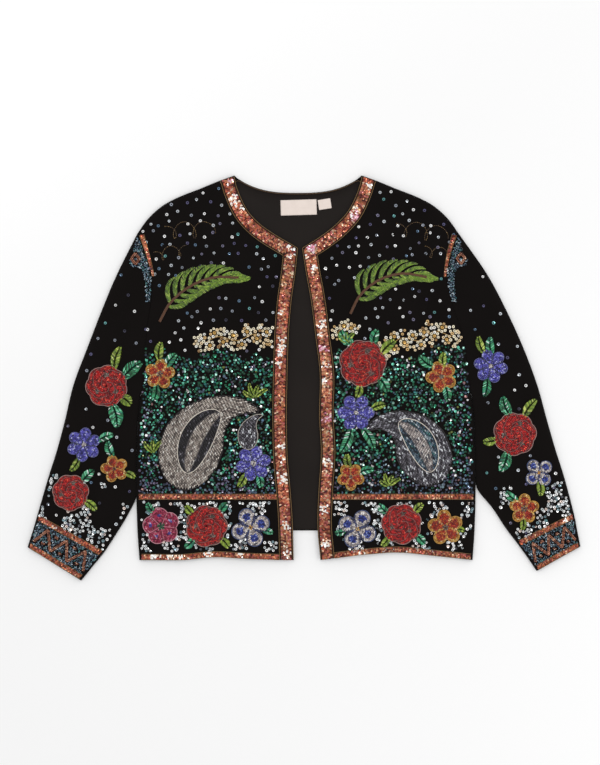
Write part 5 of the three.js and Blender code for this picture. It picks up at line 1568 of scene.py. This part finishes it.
# Paisleys: pads covered with bugle beads in close rows that follow their curl, a dark teardrop inset
# within, and cords round both outlines. The left one is taupe silver, the others pewter.
OYSTER = dyes(
    (182, 170, 160, 40), (206, 196, 186, 24), (146, 134, 126, 20), (236, 230, 222, 8), (104, 94, 90, 8),
    strength=0.92,
)
# Its palest share (226, 228, 234) is a painted highlight.
PEWTER = dyes(
    (104, 100, 108, 34), (70, 66, 76, 24), (142, 140, 150, 20), (226, 228, 234, 12), (42, 40, 48, 10),
    strength=0.88,
)
INK = dyes((44, 40, 46, 50), (26, 24, 30, 30), (92, 88, 98, 14), (150, 148, 156, 6))
ROW_PITCH, BEAD_PITCH = 2.15, 4.35
INSET_START, INSET_LENGTH, INSET_SHARE, HEART_SHARE = 0.13, 0.56, 0.52, 0.42
LOOKS = {  # beads, their spread, inset, heart, slot
    "paisley_left": (OYSTER, 0.16, INK, OYSTER, "silver_beads"),
    "paisley_small_left": (PEWTER, 0.3, STEEL, SILVER, "pewter_beads"),
    "paisley_right": (PEWTER, 0.3, STEEL, SILVER, "pewter_beads"),
}


def paisley_height(t, across):
    """Above the cloth: level along the middle, falling to the rim over the outer seventh, and tapered
    towards both ends."""
    level = np.interp(np.abs(across), [0, 0.4, 0.86, 1], [1, 1, 0.75, 0.3])
    return 0.4 + 2 * level * np.minimum(1, np.minimum(0.3 + 8 * t, 0.35 + 3 * (1 - t)))


def inset_half(width, t):
    """Half the width of the teardrop inset at a share along it."""
    return INSET_SHARE * width / 2 * np.sqrt(np.clip(np.sin(np.pi * np.clip(t, 0, 1)), 0, 1))


for name, (beads, spread, inset, heart, slot) in LOOKS.items():
    width = PAISLEYS[name][3]
    large = width > 50
    t = np.concatenate([[0, 0.01, 0.03], np.linspace(0.06, 1, 40)])[:, None]
    across = np.array([-1, -0.95, -0.86, -0.65, -0.4, -0.15, 0.15, 0.4, 0.65, 0.86, 0.95, 1])
    flat = on_paisley(name, t * np.ones(12), across * half_width(name, t))
    height = np.maximum(paisley_height(t, across) - 0.75, 0.25)
    parts = [pad(flat, height, 0.05, colour(26, 23, 25))]
    found = []
    run = np.linspace(0, 1, 240)
    for off in np.arange(-width / 2 + 1.2, width / 2, ROW_PITCH):
        row = reached(on_paisley(name, run, np.full(240, off)))
        at = np.arange(1 + 2.2 * (round(off / ROW_PITCH) % 2), row[-1], BEAD_PITCH)
        found.append(rows_of(np.interp(at, row, run), off))
    share, off = np.concatenate(found).T
    half = half_width(name, share)
    keep = (np.abs(off) < half - 1.5) & (share > 0.012) & (share < 0.985)
    share, off, half = share[keep], off[keep], half[keep]
    place, up = at_cloth(on_paisley(name, share, off), 0)
    place[:, 2] += paisley_height(share, off / half) - 0.25
    out = spine_left(name, share)
    up = up + np.where(np.abs(off) > 0.82 * half, 0.35 * np.sign(off), 0)[:, None] * step_at(out, 0.0)
    from_middle = np.abs(off + 0.03 * width)
    inner = inset_half(width, (share - INSET_START) / INSET_LENGTH)
    tint = dyed(beads, spread, len(share))
    for palette, vary, reach in ((inset, 0.25, inner), (heart, 0.2, HEART_SHARE * inner)):
        mask = (from_middle < reach) & large
        tint[mask] = dyed(palette, vary, mask.sum())
    size = np.array([4.3, 1.95, 1.7]) * chance.uniform(0.92, 1.05, (len(share), 1))
    parts.append(sewn(bugle(), (place, up), size, out - np.pi / 2, tint, glass, tip=0.06))
    t = np.linspace(0, 1, 60)
    rim = 0.985 * half_width(name, t)
    rim = np.concatenate([on_paisley(name, t, rim), on_paisley(name, t[::-1], -rim[::-1])])
    dye = colour(34, 30, 32) if large else colour(176, 168, 160)
    parts.append(laid_cord(rim, 1.3, 1.0, dye, 3.0, closed=True))
    if large:
        k = np.linspace(0.001, 0.999, 50)
        t = INSET_START + INSET_LENGTH * np.concatenate([k, k[::-1]])
        for part, dye in ((1, (216, 206, 194)), (HEART_SHARE, (60, 54, 58))):
            bow = inset_half(width, k) * part
            loop = on_paisley(name, t, np.concatenate([bow, -bow[::-1]]) - 0.03 * width)
            parts.append(cord(raised(loop, on_top(loop) + 2.75), 1.1, colour(*dye), closed=True))
    put_in(f"{name}_beads", parts, [name])

# Scrolls in running stitch on the shoulders: short stitches of fine bronze thread, in loose loops
# among the cup sequins.
THREAD_BRONZE = dyes((128, 98, 56, 50), (96, 70, 44, 30), (160, 128, 78, 20), strength=0.8)
SCROLLS = [  # x, y, width, height, turns, tilt
    (-172, 222, 74, 26, 2.5, 4), (-200, 188, 52, 20, 2.0, 12), (176, 220, 78, 26, 2.5, -6),
    (204, 186, 50, 20, 2.0, -14),
]
STITCH_PITCH = 2.8
parts = []
for x, y, wide, high, turns, tilt in SCROLLS:
    t = np.linspace(0, 1, 90)
    a = 2 * np.pi * turns * t
    run = wide * (t - 0.5) + 0.32 * high * np.sin(a)
    rise = 0.5 * high * np.cos(a) * (0.6 + 0.4 * np.sin(np.pi * t))
    path = turned(rows_of(run, rise), tilt) + (x, y)
    at = np.arange(1, length_of(path) - 1, STITCH_PITCH)
    p = along(path, at)
    heading = heading_of(along(path, at + 0.5) - p)
    tint = dyed(THREAD_BRONZE, 0.25, len(at))
    parts.append(sewn(bugle(4), at_cloth(p, 0.15), (2.1, 0.75, 0.6), heading, tint, thread, tip=0.02))
put_in("copper_scrolls", parts)

# The side that lies on the table is finished plainly: flat sequins strewn over the back's and the
# sleeves' outer faces, pressed into the cloth by its weight.
up = [side_seam(-1), armhole(-1), shoulder_seam(-1)[::-1], back_neck()]
down = [shoulder_seam(1), armhole(1)[::-1], side_seam(1)[::-1], back_hem()[::-1]]
p = strewn((-250, 250), (-265, 300), 19, 0.3)
found = [p[inside(np.concatenate([*up, *down]), p) & (distance_to(back_neck(), p) > 8)]]
for side in SIDES:
    p = strewn((200, 430), (-310, 220), 24, 0.3, side)
    found.append(p[inside(sleeve_outline(side), p)])
p = np.concatenate(found)
p = p[(edge_distance(p) > 9) & (distance_to(back_hem(), p) > 8)]
spot = raised(p, FACE_DOWN + 0.02), np.tile((0.0, 0.0, -1.0), (len(p), 1))
cups = scattered(sequin(7), spot, (2.3, 2.3, 1.0), (0.85, 1.05), (STAR, 0.2), foil, 0.01)
put_in("underside_sequins", [cups])
